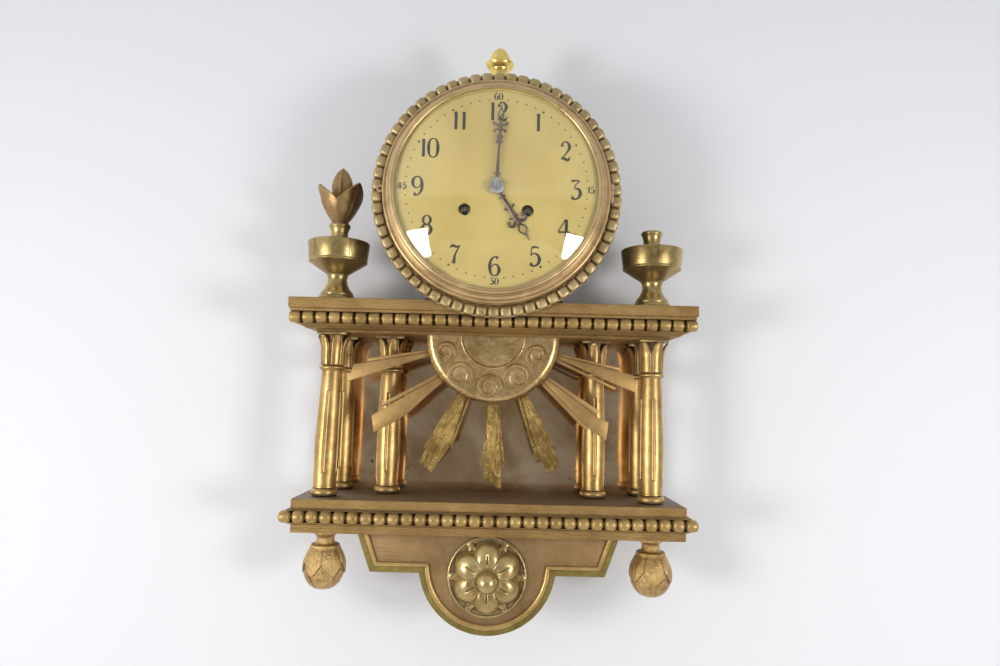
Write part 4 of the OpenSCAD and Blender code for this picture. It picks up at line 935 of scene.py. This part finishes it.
# Rosette: carved from one block, six full lobes with a crease in each, round a domed
# boss, in a thin ring. Small pointed leaves fill the corners between the lobes.
ROSETTE_R = 0.0386
ROSETTE_Z = SHELF_UNDER - 0.0398
BOSS_R = 0.0108
BOSS_Z = 0.0125
BOSS_LOW = 0.0030
LOBE_REACH = 0.0356
LOBE_CENTRE = 0.0208
LOBES = 6
LOBE_HALF = math.pi / LOBES
LOBE_R = LOBE_REACH - LOBE_CENTRE
CARVED_T = 0.003


def lobe_surface(u, v):
    """A point of the lobes: u goes round, v from the middle to the scalloped edge."""
    turn = -math.pi * u
    from_lobe = (turn - math.pi / 2 + LOBE_HALF) % (2 * LOBE_HALF) - LOBE_HALF
    off = LOBE_CENTRE * math.sin(from_lobe)
    r = v * (LOBE_CENTRE * math.cos(from_lobe) + math.sqrt(max(0, LOBE_R**2 - off**2)))
    share = abs(from_lobe) / LOBE_HALF
    pillow = max(0, 1 - share**4) ** 0.5
    swell = math.sin(math.pi * min(1, max(0, (v - 0.12) / 0.88)) ** 1.2)
    tall = 0.0040 + 0.0060 * (1 - v) + (0.0079 + 0.0012 * pillow) * max(0, swell) ** 0.6
    along = math.exp(-(((v - 0.52) / 0.15) ** 4))
    crease = 0.0018 * ridge(r * math.sin(from_lobe), 0.0007) * along
    return polar(r, turn, tall - crease)


bronze_gold = gilding(
    "bronze_gold", (0.54, 0.405, 0.175), (0.30, 0.205, 0.075), 0.33, 0.5, 0.8, 0.15, metal=0.88
)
rosette_gold = gilding(
    "rosette_gold", (0.66, 0.50, 0.235), (0.42, 0.30, 0.12), 0.30, 0.45, 0.8, 0.15, metal=0.9
)
lobes = carved_sheet(288, 40, lobe_surface, CARVED_T)
boss_profile = [(0, 0.004), (BOSS_R + 0.0035, 0.004), (BOSS_R + 0.0025, BOSS_Z)]
boss_profile += [(BOSS_R + 0.0004, 0.0118)] + arc(0, BOSS_Z, BOSS_R, 0, 88, 14)
boss = turned(boss_profile + [(0, BOSS_Z + BOSS_R)], 64)
for vertex in boss.data.vertices:
    vertex.co.y -= BOSS_LOW
ring_profile = [(ROSETTE_R - 0.004, 0), (ROSETTE_R + 0.0010, 0)]
ring_profile += arc(ROSETTE_R, 0.0022, 0.0012, -60, 240, 12) + [(ROSETTE_R - 0.004, 0.0006)]
ring = turned(ring_profile, 128)
sepals = []
for i in range(LOBES):
    turn = math.pi / 2 + LOBE_HALF + 2 * i * LOBE_HALF

    def sepal_place(u, v, turn=turn):
        along = 0.0250 + 0.0120 * v
        side = -u * 0.0066 * max(0, 1 - v) ** 0.8
        tall = 0.0024 + 0.0016 * abs(u) + 0.0010 * ridge(u, 0.12)
        return polar(along, turn, tall) + polar(side, turn + math.pi / 2, 0)

    sepals.append(carved_sheet(9, 9, sepal_place, CARVED_T))
rosette = stand(joined([lobes, boss, ring] + sepals), 0, APRON_DEPTH - 0.0004, ROSETTE_Z)
fit(rosette, "rosette_carved", rosette_gold, nodes=("rosette",), angle=60)

# Urns: turned, gilded and toned to a dull bronze colour, with the cracks of the glued-up
# drum showing. The left one still has its carved flower, four petals open round a bud.
CORNICE_TOP = -0.1822
URN_HEIGHT = 0.084
CRACK_R = 0.0322
CRACK_Z = 0.0545
CRACK_TALL = 0.0215
# Where the left urn (-1) and the right one are cracked, in degrees from the right.
URN_CRACKS = {-1: (-128, -57), 1: (-91, -20)}


def flowing(points, steps):
    """A smooth line through points, for turned outlines."""
    ends = [points[0]] + points + [points[-1]]
    line = []
    for a, b, c, d in zip(ends, ends[1:], ends[2:], ends[3:]):
        for i in range(steps):
            t = i / steps
            spot = []
            for k in (0, 1):
                bend = (2 * a[k] - 5 * b[k] + 4 * c[k] - d[k]) * t * t
                twist = (3 * b[k] - a[k] - 3 * c[k] + d[k]) * t * t * t
                spot.append(0.5 * (2 * b[k] + (c[k] - a[k]) * t + bend + twist))
            line.append(tuple(spot))
    return line + [points[-1]]


urn_outline = [(0, 0), (18.8, 0)]
urn_outline += flowing([(18.8, 0), (19.6, 1.4), (19.6, 4.2), (18.8, 5.9)], 3) + [(17.4, 6.3)]
urn_outline += flowing([(17.1, 6.9), (17.2, 8.4), (16.2, 10.4), (13.4, 14), (11.3, 18)], 4)
urn_outline += flowing([(11.3, 18), (10.3, 22), (10.3, 25.4), (11.2, 28.6), (12.6, 30.4)], 4)
urn_outline += flowing([(12.6, 30.4), (17.4, 33.6), (23.2, 37.4), (28.6, 41.2)], 3)
urn_outline += flowing([(28.8, 41.4), (30.2, 42.0), (30.9, 43.0), (30.6, 44.2), (30.5, 44.8)], 3)
urn_outline += [(30.7, 45.4), (31.7, 54), (32.6, 62.4), (32.4, 63.6), (31.4, 64.3), (10.2, 65)]
urn_outline += flowing([(9.4, 65.6), (8.9, 70), (9.1, 75), (10.3, 79), (11.4, 81.2), (11.3, 83)], 4)
urn_outline += [(10.5, 83.9), (0, 84)]
for side, urn_node in ((-1, "urn_left"), (1, "urn_right")):
    urn = turned(millimetres(urn_outline), 112)
    for crack_deg in URN_CRACKS[side]:
        for shift, reach, width in ((0, 0.0016, 0.0006), (3.4, 0.0010, 0.0004)):
            a = math.radians(crack_deg + shift)
            place = polar(CRACK_R, a, CRACK_Z)
            knife = begun(bpy.ops.mesh.primitive_cube_add, size=1, location=place)
            knife.scale = (2 * reach, width, CRACK_TALL)
            knife.rotation_euler = (0, 0, a)
            settle(knife)
            carve(urn, knife)
    urn.location = (side * SIDE_X, -SIDE_DEPTH, CORNICE_TOP)
    settle(urn)
    fit(urn, urn_node + "_turned", bronze_gold, nodes=(urn_node,))

# Each petal's direction, then by height how far out its middle stands and how many
# degrees wide its half is. Lengths in millimetres.
SIDE_PETAL = [(0, 6), (10, 12.5), (24, 18), (35, 23)], [(0, 50), (20, 46), (29, 28), (35, 1)]
PETALS = [
    (212, [(0, 7), (10, 14), (22, 20), (31, 22.5), (40, 25.5)],
     [(0, 62), (22, 60), (28, 42), (34, 21), (40, 1)]),
    (328, [(0, 7), (10, 14), (22, 20), (31, 23), (42, 27)],
     [(0, 62), (22, 60), (28, 42), (35, 21), (42, 1)]),
    (152, *SIDE_PETAL),
    (28, *SIDE_PETAL),
]
BUD_OUTLINE = [(0, 0), (6, 2), (8.4, 14), (10.4, 30), (11.4, 42), (10, 50), (6.6, 57)]
BUD_OUTLINE += [(2.6, 61.6), (0, 63.4)]


def along_line(points, height):
    """The value of a line of (height, value) points at a height."""
    for (h0, a), (h1, b) in zip(points, points[1:]):
        if height <= h1:
            return a + (b - a) * (height - h0) / (h1 - h0)
    return points[-1][1]


flower_gold = gilding(
    "flower_gold", (0.52, 0.35, 0.16), (0.27, 0.165, 0.070), 0.38, 0.8, 1.0, 0.5, metal=0.84
)
PETAL_T = 0.0024
petals = []
for direction_deg, reach_line, width_line in PETALS:
    smooth_reach = flowing(reach_line, 6)
    tall = reach_line[-1][0]

    def petal_place(u, v):
        h = tall * v
        half = math.radians(along_line(width_line, h))
        keel = 1.6 * ridge(u, 0.10) * math.sin(math.pi * min(1, v * 1.02))
        r = along_line(smooth_reach, h) + keel + 0.8 * abs(u) ** 3 * math.sin(math.pi * v)
        return polar(r, math.radians(direction_deg) + u * half, h) / 1000

    petals.append(carved_sheet(23, 40, petal_place, PETAL_T))
calyx_outline = [(0, -1), (10.4, -1)]
calyx_outline += flowing([(10.4, 0), (9, 1.4), (7, 2.6), (5, 5), (0, 6)], 3)
calyx = turned(millimetres(calyx_outline), 48)
middle_bud = turned(millimetres([BUD_OUTLINE[0]] + flowing(BUD_OUTLINE, 4)), 64)
for vertex in middle_bud.data.vertices:
    vertex.co.y = 0.62 * vertex.co.y + 0.003
    if vertex.co.y < 0:
        vertex.co.y -= 0.0016 * ridge(vertex.co.x, 0.0012)
flower = joined(petals + [calyx, middle_bud])
bevelled(flower, 0.0004, 2, 50)
flower.location = (-SIDE_X, -SIDE_DEPTH, CORNICE_TOP + URN_HEIGHT + 0.0002)
settle(flower)
fit(flower, "flower_carved", flower_gold, nodes=("urn_flower",), angle=50)

# Hanging buds under the shelf's corners: a spool neck in a cup-shaped rim. Six pointed
# leaves hang over a rounded bud and are lightly cut with small strokes.

# In millimetres: where the leaves begin below the shelf, and how far the bud goes on.
BUD_TOP = 19
BUD_TALL = 42.2
BUD_WIDEST = 0.42
BUD_LEAVES = 6
HALF_LEAF = math.pi / BUD_LEAVES


def bud_radius(depth_mm):
    """Outside of the bud at a depth below the shelf."""
    t = max(0, (depth_mm - BUD_TOP) / BUD_TALL)
    if t < BUD_WIDEST:
        return 14.4 + 6.4 * math.sin(math.pi / 2 * t / BUD_WIDEST) ** 0.9
    return 20.8 * math.sqrt(max(0, 1 - ((t - BUD_WIDEST) / (1 - BUD_WIDEST)) ** 2.5))


pendant_gold = gilding(
    "pendant_gold", (0.72, 0.50, 0.215), (0.44, 0.28, 0.10), 0.30, 0.8, 1.0, 0.6,
    0.45, 0.9, (420, 420, 420),
)
neck = [(12.0, 1.6), (12.6, 3.4), (12.2, 5.0), (10.4, 6.2), (9.0, 8.6), (9.4, 12.4)]
cup = [(9.6, 14.4), (11.4, 15.6), (13.4, 15.2), (14.6, 15.8), (15.0, 17.2), (14.9, BUD_TOP)]
bud_outline = [(0, 0), (11.8, 0)] + flowing(neck, 4) + flowing(cup, 4)
for i in range(1, 30):
    low = BUD_TOP + BUD_TALL * i / 30
    bud_outline.append((bud_radius(low) - 0.7, low))
bud_outline.append((0, 60.6))
for side, pendant_node in ((-1, "pendant_left"), (1, "pendant_right")):
    bud = turned(millimetres([(r, -z) for r, z in bud_outline]), 96)
    shells = []
    for i in range(BUD_LEAVES):
        turn = 2 * HALF_LEAF * (i + (0.5 if side > 0 else 0.1))

        def shell_place(u, v, turn=turn):
            low = 45.5 - 13.5 * abs(u) ** 1.15
            z = 18.4 + (low - 18.4) * v
            groove = 1.1 * ridge(abs(u) - 1, 0.07) + 0.4 * ridge(u, 0.10)
            r = bud_radius(z) + 0.9 - groove + 0.3 * v
            return polar(r, turn - u * HALF_LEAF, -z) / 1000

        def tip_place(u, v, turn=turn):
            z = 59.5 - 21 * v
            half = HALF_LEAF * 0.8 * math.sin(math.pi * (0.30 + 0.70 * v)) ** 0.8
            r = bud_radius(z) - 0.1 + 0.5 * (1 - abs(u))
            return polar(r, turn + HALF_LEAF + u * half, -z) / 1000

        shells.append(carved_sheet(21, 24, shell_place, 0.0016))
        shells.append(carved_sheet(11, 14, tip_place, 0.0014))
    pendant = joined([bud] + shells)
    pendant.location = (side * SIDE_X, -SIDE_DEPTH, SHELF_UNDER)
    settle(pendant)
    fit(pendant, pendant_node + "_carved", pendant_gold, nodes=(pendant_node,), angle=50)

# Head: a fixed frame of stamped brass with its ring of beads, and the hinged door ring,
# turned and lacquered to a pinkish gold.
DIAL_Z = -0.072
RING_BEADS = 62
RING_BEAD_R = 0.1222
RING_BEAD_DEPTH = 0.1222
RING_BEAD_SIZE = (0.0116, 0.0112, 0.0072)
BRASS_SPOTS = (0.20, 0.11, 0.05)


def turned_brass(name, light, dark, rough):
    """Lacquered brass that keeps the fine rings of the lathe, dulled and cloudy, with dirt and
    painted shade in its hollows.
    """
    material, tree, metal = new_material(name)
    place = object_place(tree)
    inputs = {"Vector": place, "Location": (0, 0, -DIAL_Z)}
    centred = add_node(tree, "ShaderNodeMapping", inputs).outputs[0]
    parts = add_node(tree, "ShaderNodeSeparateXYZ", {0: centred}).outputs
    flat = add_node(tree, "ShaderNodeCombineXYZ", {"X": parts["X"], "Y": parts["Z"]}).outputs[0]
    radius = add_node(tree, "ShaderNodeVectorMath", {0: flat}, operation="LENGTH").outputs["Value"]
    inputs = {"W": radius, "Scale": 1500, "Detail": 4}
    rings = add_node(tree, "ShaderNodeTexNoise", inputs, noise_dimensions="1D").outputs["Fac"]
    clouds = noise(tree, place, 55, 5, 0.6, 0.5)
    specks = grey_ramp(tree, noise(tree, place, 520, 4, 0.7), 0.64, 0.72, 0, 0.5)
    # Dirt and painted shade: hollows found by occlusion are darkened.
    hollow_shade_and_dirt = grey_ramp(tree, occlusion(tree, 0.004, 6), 0.6, 0.15, 0, 0.6)
    body = mixed_colour(tree, grey_ramp(tree, clouds, 0.35, 0.68), dark, light)
    body = mixed_colour(tree, grey_ramp(tree, rings, 0.35, 0.65, 0, 0.12), body, dark)
    body = mixed_colour(tree, specks, body, BRASS_SPOTS)
    inputs = {"Base Color": mixed_colour(tree, hollow_shade_and_dirt, body, HOLLOW_DIRT_AND_SHADE), "Metallic": 0.85}
    inputs["Roughness"] = grey_ramp(tree, clouds, 0.3, 0.7, rough - 0.06, rough + 0.1)
    inputs["Normal"] = bump(tree, rings, 0.12, 0.0003)
    set_inputs(tree, metal, inputs)
    return material


lacquer_gold = turned_brass("lacquer_gold", (0.72, 0.52, 0.27), (0.54, 0.37, 0.18), 0.30)
ring_bead_gold = gilding(
    "ring_bead_gold", (0.68, 0.54, 0.29), (0.44, 0.32, 0.14), 0.36, 0.6, 0.7, 0.7,
    0.3, 0.85, (300, 300, 300),
)
dress(lacquer_gold, "bead_frame", "door_bezel", "door_catch", "hinge_leaf")
bezel_outline = [(113.6, 131.8), (114.9, 132.4)] + arc(113.4, 134.5, 1.5, -40, 150, 8)
bezel_outline += [(111.9, 134.9), (111.5, 135.9), (110.7, 136.9), (109.5, 137.5)]
bezel_outline += arc(108.5, 138.2, 0.8, -30, 140, 6) + arc(107.2, 139.6, 0.8, -30, 140, 6)
bezel_outline += [(106.5, 141.1)] + arc(104.3, 143.5, 2.8, -30, 95, 10)
bezel_outline += [(103.4, 145.5), (102.7, 146.1), (102, 145.8), (101.65, 145)]
bezel_outline += [(101.65, 144.3), (104.6, 144.2), (105.3, 142), (107, 140), (109, 137)]
bezel_outline += [(111.5, 134.6), (113.6, 131.8)]
bezel_rings = stand(turned(millimetres(bezel_outline), 200), 0, 0, DIAL_Z)
fit(bezel_rings, "bezel_rings", lacquer_gold, "door", angle=40)
ring_bead = begun(bpy.ops.mesh.primitive_cube_add, size=1)
ring_bead.scale = RING_BEAD_SIZE
settle(ring_bead)
bevelled(ring_bead, 0.0034, 4)
ring_beads = []
for i in range(RING_BEADS):
    a = 2 * math.pi * (i + 0.5) / RING_BEADS
    one = own_copy(ring_bead)
    one.rotation_euler = (0.05 * math.sin(5 * i), 0.05 * math.sin(3 * i), a - math.pi / 2)
    one.location = (RING_BEAD_R * math.cos(a), RING_BEAD_R * math.sin(a), 0)
    settle(one)
    ring_beads.append(one)
bpy.data.objects.remove(ring_bead)
bead_ring = stand(joined(ring_beads), 0, RING_BEAD_DEPTH, DIAL_Z)
fit(bead_ring, "ring_beads", ring_bead_gold, nodes=("frame_beads",))

# Finial: turned brass, brighter than the rest, a blunt dome on a flared brim.
FINIAL_DEPTH = 0.088
finial_outline = [(0, 33), (13, 33), (13, 37)]
finial_outline += flowing([(12.4, 39), (9.6, 44), (8.8, 52), (8.8, 62), (9.6, 71), (10.8, 75)], 4)
finial_outline += flowing([(10.8, 75), (12.8, 77), (14.6, 79.4), (15.2, 81.4), (14.6, 82.8)], 4)
finial_outline += flowing([(14.4, 83), (12.6, 83.8), (11.2, 84.8), (10.8, 86)], 4)
finial_dome = [(10.6, 86.2), (10.3, 88.5), (9.0, 92.4), (6.6, 96), (3.4, 98.9), (1.2, 99.7)]
finial_outline += flowing(finial_dome + [(0, 99.8)], 4)
finial = turned(millimetres(finial_outline), 72)
finial.location = (0, -FINIAL_DEPTH, 0)
settle(finial)
finial_brass = turned_brass("finial_brass", (0.98, 0.76, 0.25), (0.80, 0.58, 0.14), 0.2)
fit(finial, "finial_turned", finial_brass, nodes=("top_finial",), angle=40)

# Door glass: a thin clear dome. Lamps shine through it on to the dial.
door_glass, tree, pane = new_material("door_glass")
inputs = {"Base Color": (0.97, 0.985, 0.98, 1), "Roughness": 0.02, "IOR": 1.5}
inputs["Transmission Weight"] = 1
set_inputs(tree, pane, inputs)
lamp_ray = add_node(tree, "ShaderNodeLightPath").outputs["Is Shadow Ray"]
clear_where(tree, lamp_ray, pane, (0.97, 0.98, 0.97))
dress(door_glass, "door_glass")

# Dial: a brass plate painted cream, yellowed and flecked, with black-brown figures and
# minute dots painted by hand. Small figures stand in place of the dots at the quarters.
DIAL_DEPTH = 0.141
FIGURE_R = 0.0785
FIGURE_HEIGHT = 0.0192
FIGURE_STROKE = 0.00102
SMALL_STROKE = 0.00052
MINUTE_R = 0.0905
SMALL_R = 0.0937
SMALL_HEIGHT = 0.0066
BIG_DOT = 0.0012
SMALL_DOT = 0.0008
# Each figure's strokes: points (across, up, width), and whether the stroke is closed.
STROKES = {
    "0": [([(0.30, 1.0, 0.5), (0.06, 0.5, 1.7), (0.30, 0.0, 0.5), (0.54, 0.5, 1.7)], True)],
    "1": [([(0.12, 0.86, 0.5), (0.2, 0.95, 0.9)], False),
          ([(0.22, 0.97, 1.5), (0.22, 0.02, 1.5)], False)],
    "2": [([(0.13, 0.74, 2.0), (0.12, 0.83, 0.9), (0.28, 0.99, 0.6), (0.49, 0.76, 1.7),
            (0.36, 0.42, 0.8), (0.06, 0.06, 0.4)], False),
          ([(0.06, 0.06, 0.5), (0.2, 0.11, 1.3), (0.4, 0.02, 1.5), (0.55, 0.2, 0.4)], False)],
    "3": [([(0.08, 0.93, 1.2), (0.2, 0.98, 0.9), (0.5, 0.96, 0.8)], False),
          ([(0.5, 0.96, 0.5), (0.26, 0.6, 0.6), (0.46, 0.52, 1.3), (0.54, 0.28, 1.7),
            (0.3, 0.0, 0.8), (0.09, 0.1, 1.9)], False)],
    "4": [([(0.36, 0.98, 0.6), (-0.02, 0.32, 0.6)], False),
          ([(-0.02, 0.3, 0.9), (0.58, 0.3, 0.9)], False),
          ([(0.4, 0.96, 1.5), (0.4, 0.02, 1.5)], False)],
    "5": [([(0.14, 0.95, 1.1), (0.3, 0.99, 1.0), (0.5, 0.94, 0.8)], False),
          ([(0.14, 0.95, 0.5), (0.11, 0.55, 0.5)], False),
          ([(0.11, 0.55, 0.5), (0.3, 0.65, 0.8), (0.54, 0.33, 1.8), (0.28, 0.0, 0.8),
            (0.07, 0.12, 1.9)], False)],
    "6": [([(0.47, 0.9, 1.7), (0.32, 0.98, 0.7), (0.06, 0.42, 1.7), (0.3, 0.0, 0.6),
            (0.54, 0.3, 1.7), (0.32, 0.59, 0.6), (0.1, 0.38, 0.5)], False)],
    "7": [([(0.04, 0.86, 0.7), (0.18, 0.96, 1.4), (0.38, 0.9, 1.2), (0.55, 0.98, 0.5)], False),
          ([(0.55, 0.98, 0.5), (0.32, 0.5, 0.9), (0.24, 0.03, 1.8)], False)],
    "8": [([(0.3, 1.0, 0.6), (0.11, 0.77, 1.4), (0.3, 0.54, 0.7), (0.49, 0.77, 1.4)], True),
          ([(0.3, 0.54, 0.7), (0.06, 0.27, 1.7), (0.3, 0.0, 0.6), (0.54, 0.27, 1.7)], True)],
}
ADVANCE = {"1": 0.42}
COMMON_ADVANCE = 0.70
SPACE = 0.1


def redrawn(strokes, change):
    """Strokes with the place of each point changed, and its width kept."""
    made = []
    for points, closed in strokes:
        made.append(([(*change(x, y), share) for x, y, share in points], closed))
    return made


def figure(text, height, radius, turn_deg, weight):
    """Painted figures, upright, at a radius and an angle from twelve."""
    x = radius * math.sin(math.radians(turn_deg))
    z = radius * math.cos(math.radians(turn_deg))
    advance = [ADVANCE.get(letter, COMMON_ADVANCE) for letter in text]
    left = -(sum(advance) - SPACE) / 2
    strokes = []
    for letter, step in zip(text, advance):

        def on_dial(px, py, left=left):
            return x + (left + px) * height, z + (py - 0.5) * height

        strokes += redrawn(STROKES[letter], on_dial)
        left += step
    return round_line(strokes, weight, 0.1)


STROKES["9"] = redrawn(STROKES["6"], lambda x, y: (0.6 - x, 1 - y))
dial_paint, tree, cream = new_material("dial_paint")
place = object_place(tree)
ageing = noise(tree, place, 16, 5)
cream_colour = mixed_colour(
    tree, grey_ramp(tree, ageing, 0.35, 0.7), (0.415, 0.300, 0.088), (0.480, 0.360, 0.118)
)
flecks = combined(tree, grey_ramp(tree, noise(tree, place, 420, 4, 0.7), 0.66, 0.72), 0.5)
inputs = {"Base Color": mixed_colour(tree, flecks, cream_colour, (0.25, 0.16, 0.06))}
inputs["Roughness"] = grey_ramp(tree, ageing, 0.3, 0.7, 0.38, 0.52)
inputs["Normal"] = bump(tree, noise(tree, place, 700, 3), 0.15, 0.0002)
set_inputs(tree, cream, inputs)
dress(dial_paint, "dial")

ink, tree, black = new_material("figure_black")
place = object_place(tree)
faded = grey_ramp(tree, noise(tree, place, 900, 4), 0.4, 0.7)
inputs = {"Base Color": mixed_colour(tree, faded, (0.010, 0.007, 0.004), (0.026, 0.017, 0.010))}
inputs["Roughness"] = grey_ramp(tree, noise(tree, place, 300, 3), 0.3, 0.7, 0.45, 0.65)
set_inputs(tree, black, inputs)
marks = []
for hour in range(1, 13):
    marks.append(figure(str(hour), FIGURE_HEIGHT, FIGURE_R, 30 * hour, FIGURE_STROKE))
for quarter, text in enumerate(("60", "15", "30", "45")):
    marks.append(figure(text, SMALL_HEIGHT, SMALL_R, 90 * quarter, SMALL_STROKE))
for minute in range(60):
    if minute % 15 == 0:
        continue
    a = math.radians(6 * minute)
    dot = begun(
        bpy.ops.mesh.primitive_uv_sphere_add,
        segments=12,
        ring_count=6,
        radius=SMALL_DOT if minute % 5 else BIG_DOT,
        location=(MINUTE_R * math.sin(a), MINUTE_R * math.cos(a), 0),
    )
    dot.scale = (1, 1, 0.12)
    settle(dot)
    marks.append(dot)
figures = stand(joined(marks), 0, DIAL_DEPTH + 0.00002, DIAL_Z)
fit(figures, "dial_figures", ink)


# Hands, nut, arbors and the movement: blued steel hands gone brown and violet, bright
# steel arbors, and planished brass plates and wheels behind the dial.
def worked_metal(name, light, dark, rough):
    """Bare worked metal with fine scratches and a cloudy tarnish."""
    material, tree, metal = new_material(name)
    place = object_place(tree)
    tarnish = noise(tree, place, 70, 5, 0.6, 0.4)
    streaks = noise(tree, stretched(tree, place, (60, 60, 2400)), 1, 3)
    body = mixed_colour(tree, grey_ramp(tree, tarnish, 0.35, 0.7), dark, light)
    inputs = {"Base Color": body, "Metallic": 1}
    inputs["Roughness"] = grey_ramp(tree, tarnish, 0.3, 0.7, rough - 0.08, rough + 0.12)
    inputs["Normal"] = bump(tree, streaks, 0.2, 0.0002)
    set_inputs(tree, metal, inputs)
    return material


def both_sides(points):
    """An open stroke and its mirror image."""
    return [(points, False), ([(-x, y, share) for x, y, share in points], False)]


blued = worked_metal("blued_steel", (0.27, 0.19, 0.15), (0.12, 0.078, 0.068), 0.42)
bright_steel = worked_metal("bright_steel", (0.50, 0.51, 0.51), (0.30, 0.30, 0.29), 0.40)
old_steel = worked_metal("old_steel", (0.16, 0.15, 0.14), (0.07, 0.065, 0.06), 0.5)
plate_brass = worked_metal("plate_brass", (0.74, 0.56, 0.27), (0.52, 0.36, 0.15), 0.3)
HOUR_TURN = -147
MINUTE_TURN = -2.2
CENTRE_HOLE = 0.0016
HAND_STROKE = 0.0012
HOUR_DEPTH = 0.1431
MINUTE_DEPTH = 0.1449
NUT_DEPTH = 0.1454
HOUR_HUB = 0.0064
MINUTE_HUB = 0.0050
# The hands' strokes, in millimetres from their centre, pointing up.
HOUR_HAND = [
    ([(0, 5, 1.6), (0, 12, 1.5), (0, 24, 1.7), (0, 34, 1.9), (0, 43, 1.5)], False),
    ([(-3.4, 11.6, 0.9), (0, 11, 1.3), (3.4, 11.6, 0.9)], False),
    *both_sides([(-5.0, 22.6, 1.2), (-4.6, 24.4, 0.7), (-2.4, 25.2, 0.9), (0, 24.6, 1.0)]),
    *both_sides([(-5.6, 33.6, 1.3), (-4.6, 35.2, 0.6), (-2.2, 35.6, 0.9), (0, 35, 1)]),
    *both_sides([(-7.2, 36.8, 1.5), (-9.4, 38.6, 0.9), (-8.6, 41.6, 1.0), (-5.6, 42.4, 1.3),
                 (-2.4, 40, 1.2), (0, 37, 1)]),
    *both_sides([(0, 42, 1), (-1.8, 45, 0.8), (-4, 49.4, 0.7), (-1.8, 53.4, 0.7), (0, 55.8, 0.9)]),
    ([(0, 54.6, 1.1), (0, 62, 0.35)], False),
]
MINUTE_HAND = [
    ([(0, 4, 1.5), (0, 13, 1.35), (0, 30, 1.15), (0, 44, 1.05), (0, 66, 1.0)], False),
    ([(-3.2, 13.6, 0.8), (0, 13, 1.2), (3.2, 13.6, 0.8)], False),
    ([(-3.1, 46.6, 1.0), (-2.2, 45.0, 0.8), (0, 44.4, 1.0), (2.2, 45.0, 0.8), (3.1, 46.6, 1.0)],
     False),
    ([(0, 48, 0.8), (-1.9, 50.4, 1.2), (0, 53, 0.9), (1.9, 50.4, 1.2)], True),
    *both_sides([(-5.4, 55.4, 1.1), (-5.0, 57.6, 0.8), (-2.6, 58.2, 0.9), (0, 56.4, 1.1)]),
    *both_sides([(-6.8, 66.4, 1.1), (-6.6, 64.0, 0.8), (-4.0, 63.4, 1.2), (-1.4, 61.4, 1.1),
                 (0, 58.4, 1)]),
    *both_sides([(0, 65, 0.9), (-1.6, 68.5, 0.7), (-2.6, 73.4, 0.6), (-1.2, 78, 0.6),
                 (0, 80.6, 0.8)]),
    ([(0, 79.6, 0.9), (0, 86, 0.3)], False),
]
for hand_node, strokes, turn_deg, depth, hub, body in (
    ("hour_hand", HOUR_HAND, HOUR_TURN, HOUR_DEPTH, HOUR_HUB, "hour"),
    ("minute_hand", MINUTE_HAND, MINUTE_TURN, MINUTE_DEPTH, MINUTE_HUB, "minute"),
):
    strokes = redrawn(strokes, lambda x, y: (x / 1000, y / 1000))
    scrollwork = round_line(strokes, HAND_STROKE, 0.30, 6)
    hub_outline = [(CENTRE_HOLE, -0.0005), (hub, -0.0005), (hub, 0.0003)]
    hub_outline += [(hub - 0.0004, 0.0005), (CENTRE_HOLE, 0.0005)]
    hand = joined([scrollwork, turned(hub_outline, 48)])
    hand.rotation_euler = (0, 0, math.radians(turn_deg))
    settle(hand)
    stand(hand, 0, depth, DIAL_Z)
    fit(hand, hand_node + "_pierced", blued, body, (hand_node,), 50)
nut_outline = [(0, 0), (7.1, 0), (7.3, 0.6), (7.3, 1.6), (6.6, 2.3), (4.6, 2.6), (4.1, 2.2)]
nut_outline += [(3.3, 2.2), (3.1, 4.4), (2.6, 5.2), (1.5, 5.3), (1.2, 4.4), (0, 4.3)]
nut = stand(turned(millimetres(nut_outline), 48), 0, NUT_DEPTH, DIAL_Z)
fit(nut, "nut_turned", bright_steel, "minute", ("hand_nut",))
dress(old_steel, "going_winding_arbor", "strike_winding_arbor")
dress(bright_steel, "hinge_pin", "anchor", "bell_hammer")
dress(plate_brass, "hanger_plate", "mount_ring", "front_plate", "back_plate", "plate_pillars")
dress(plate_brass, "going_barrel", "strike_barrel", "centre_arbor", "third_wheel")
dress(plate_brass, "escape_wheel", "pin_wheel", "cannon_pinion", "minute_wheel", "hour_wheel")
dress(plate_brass, "pendulum", "bell", "bell_post")
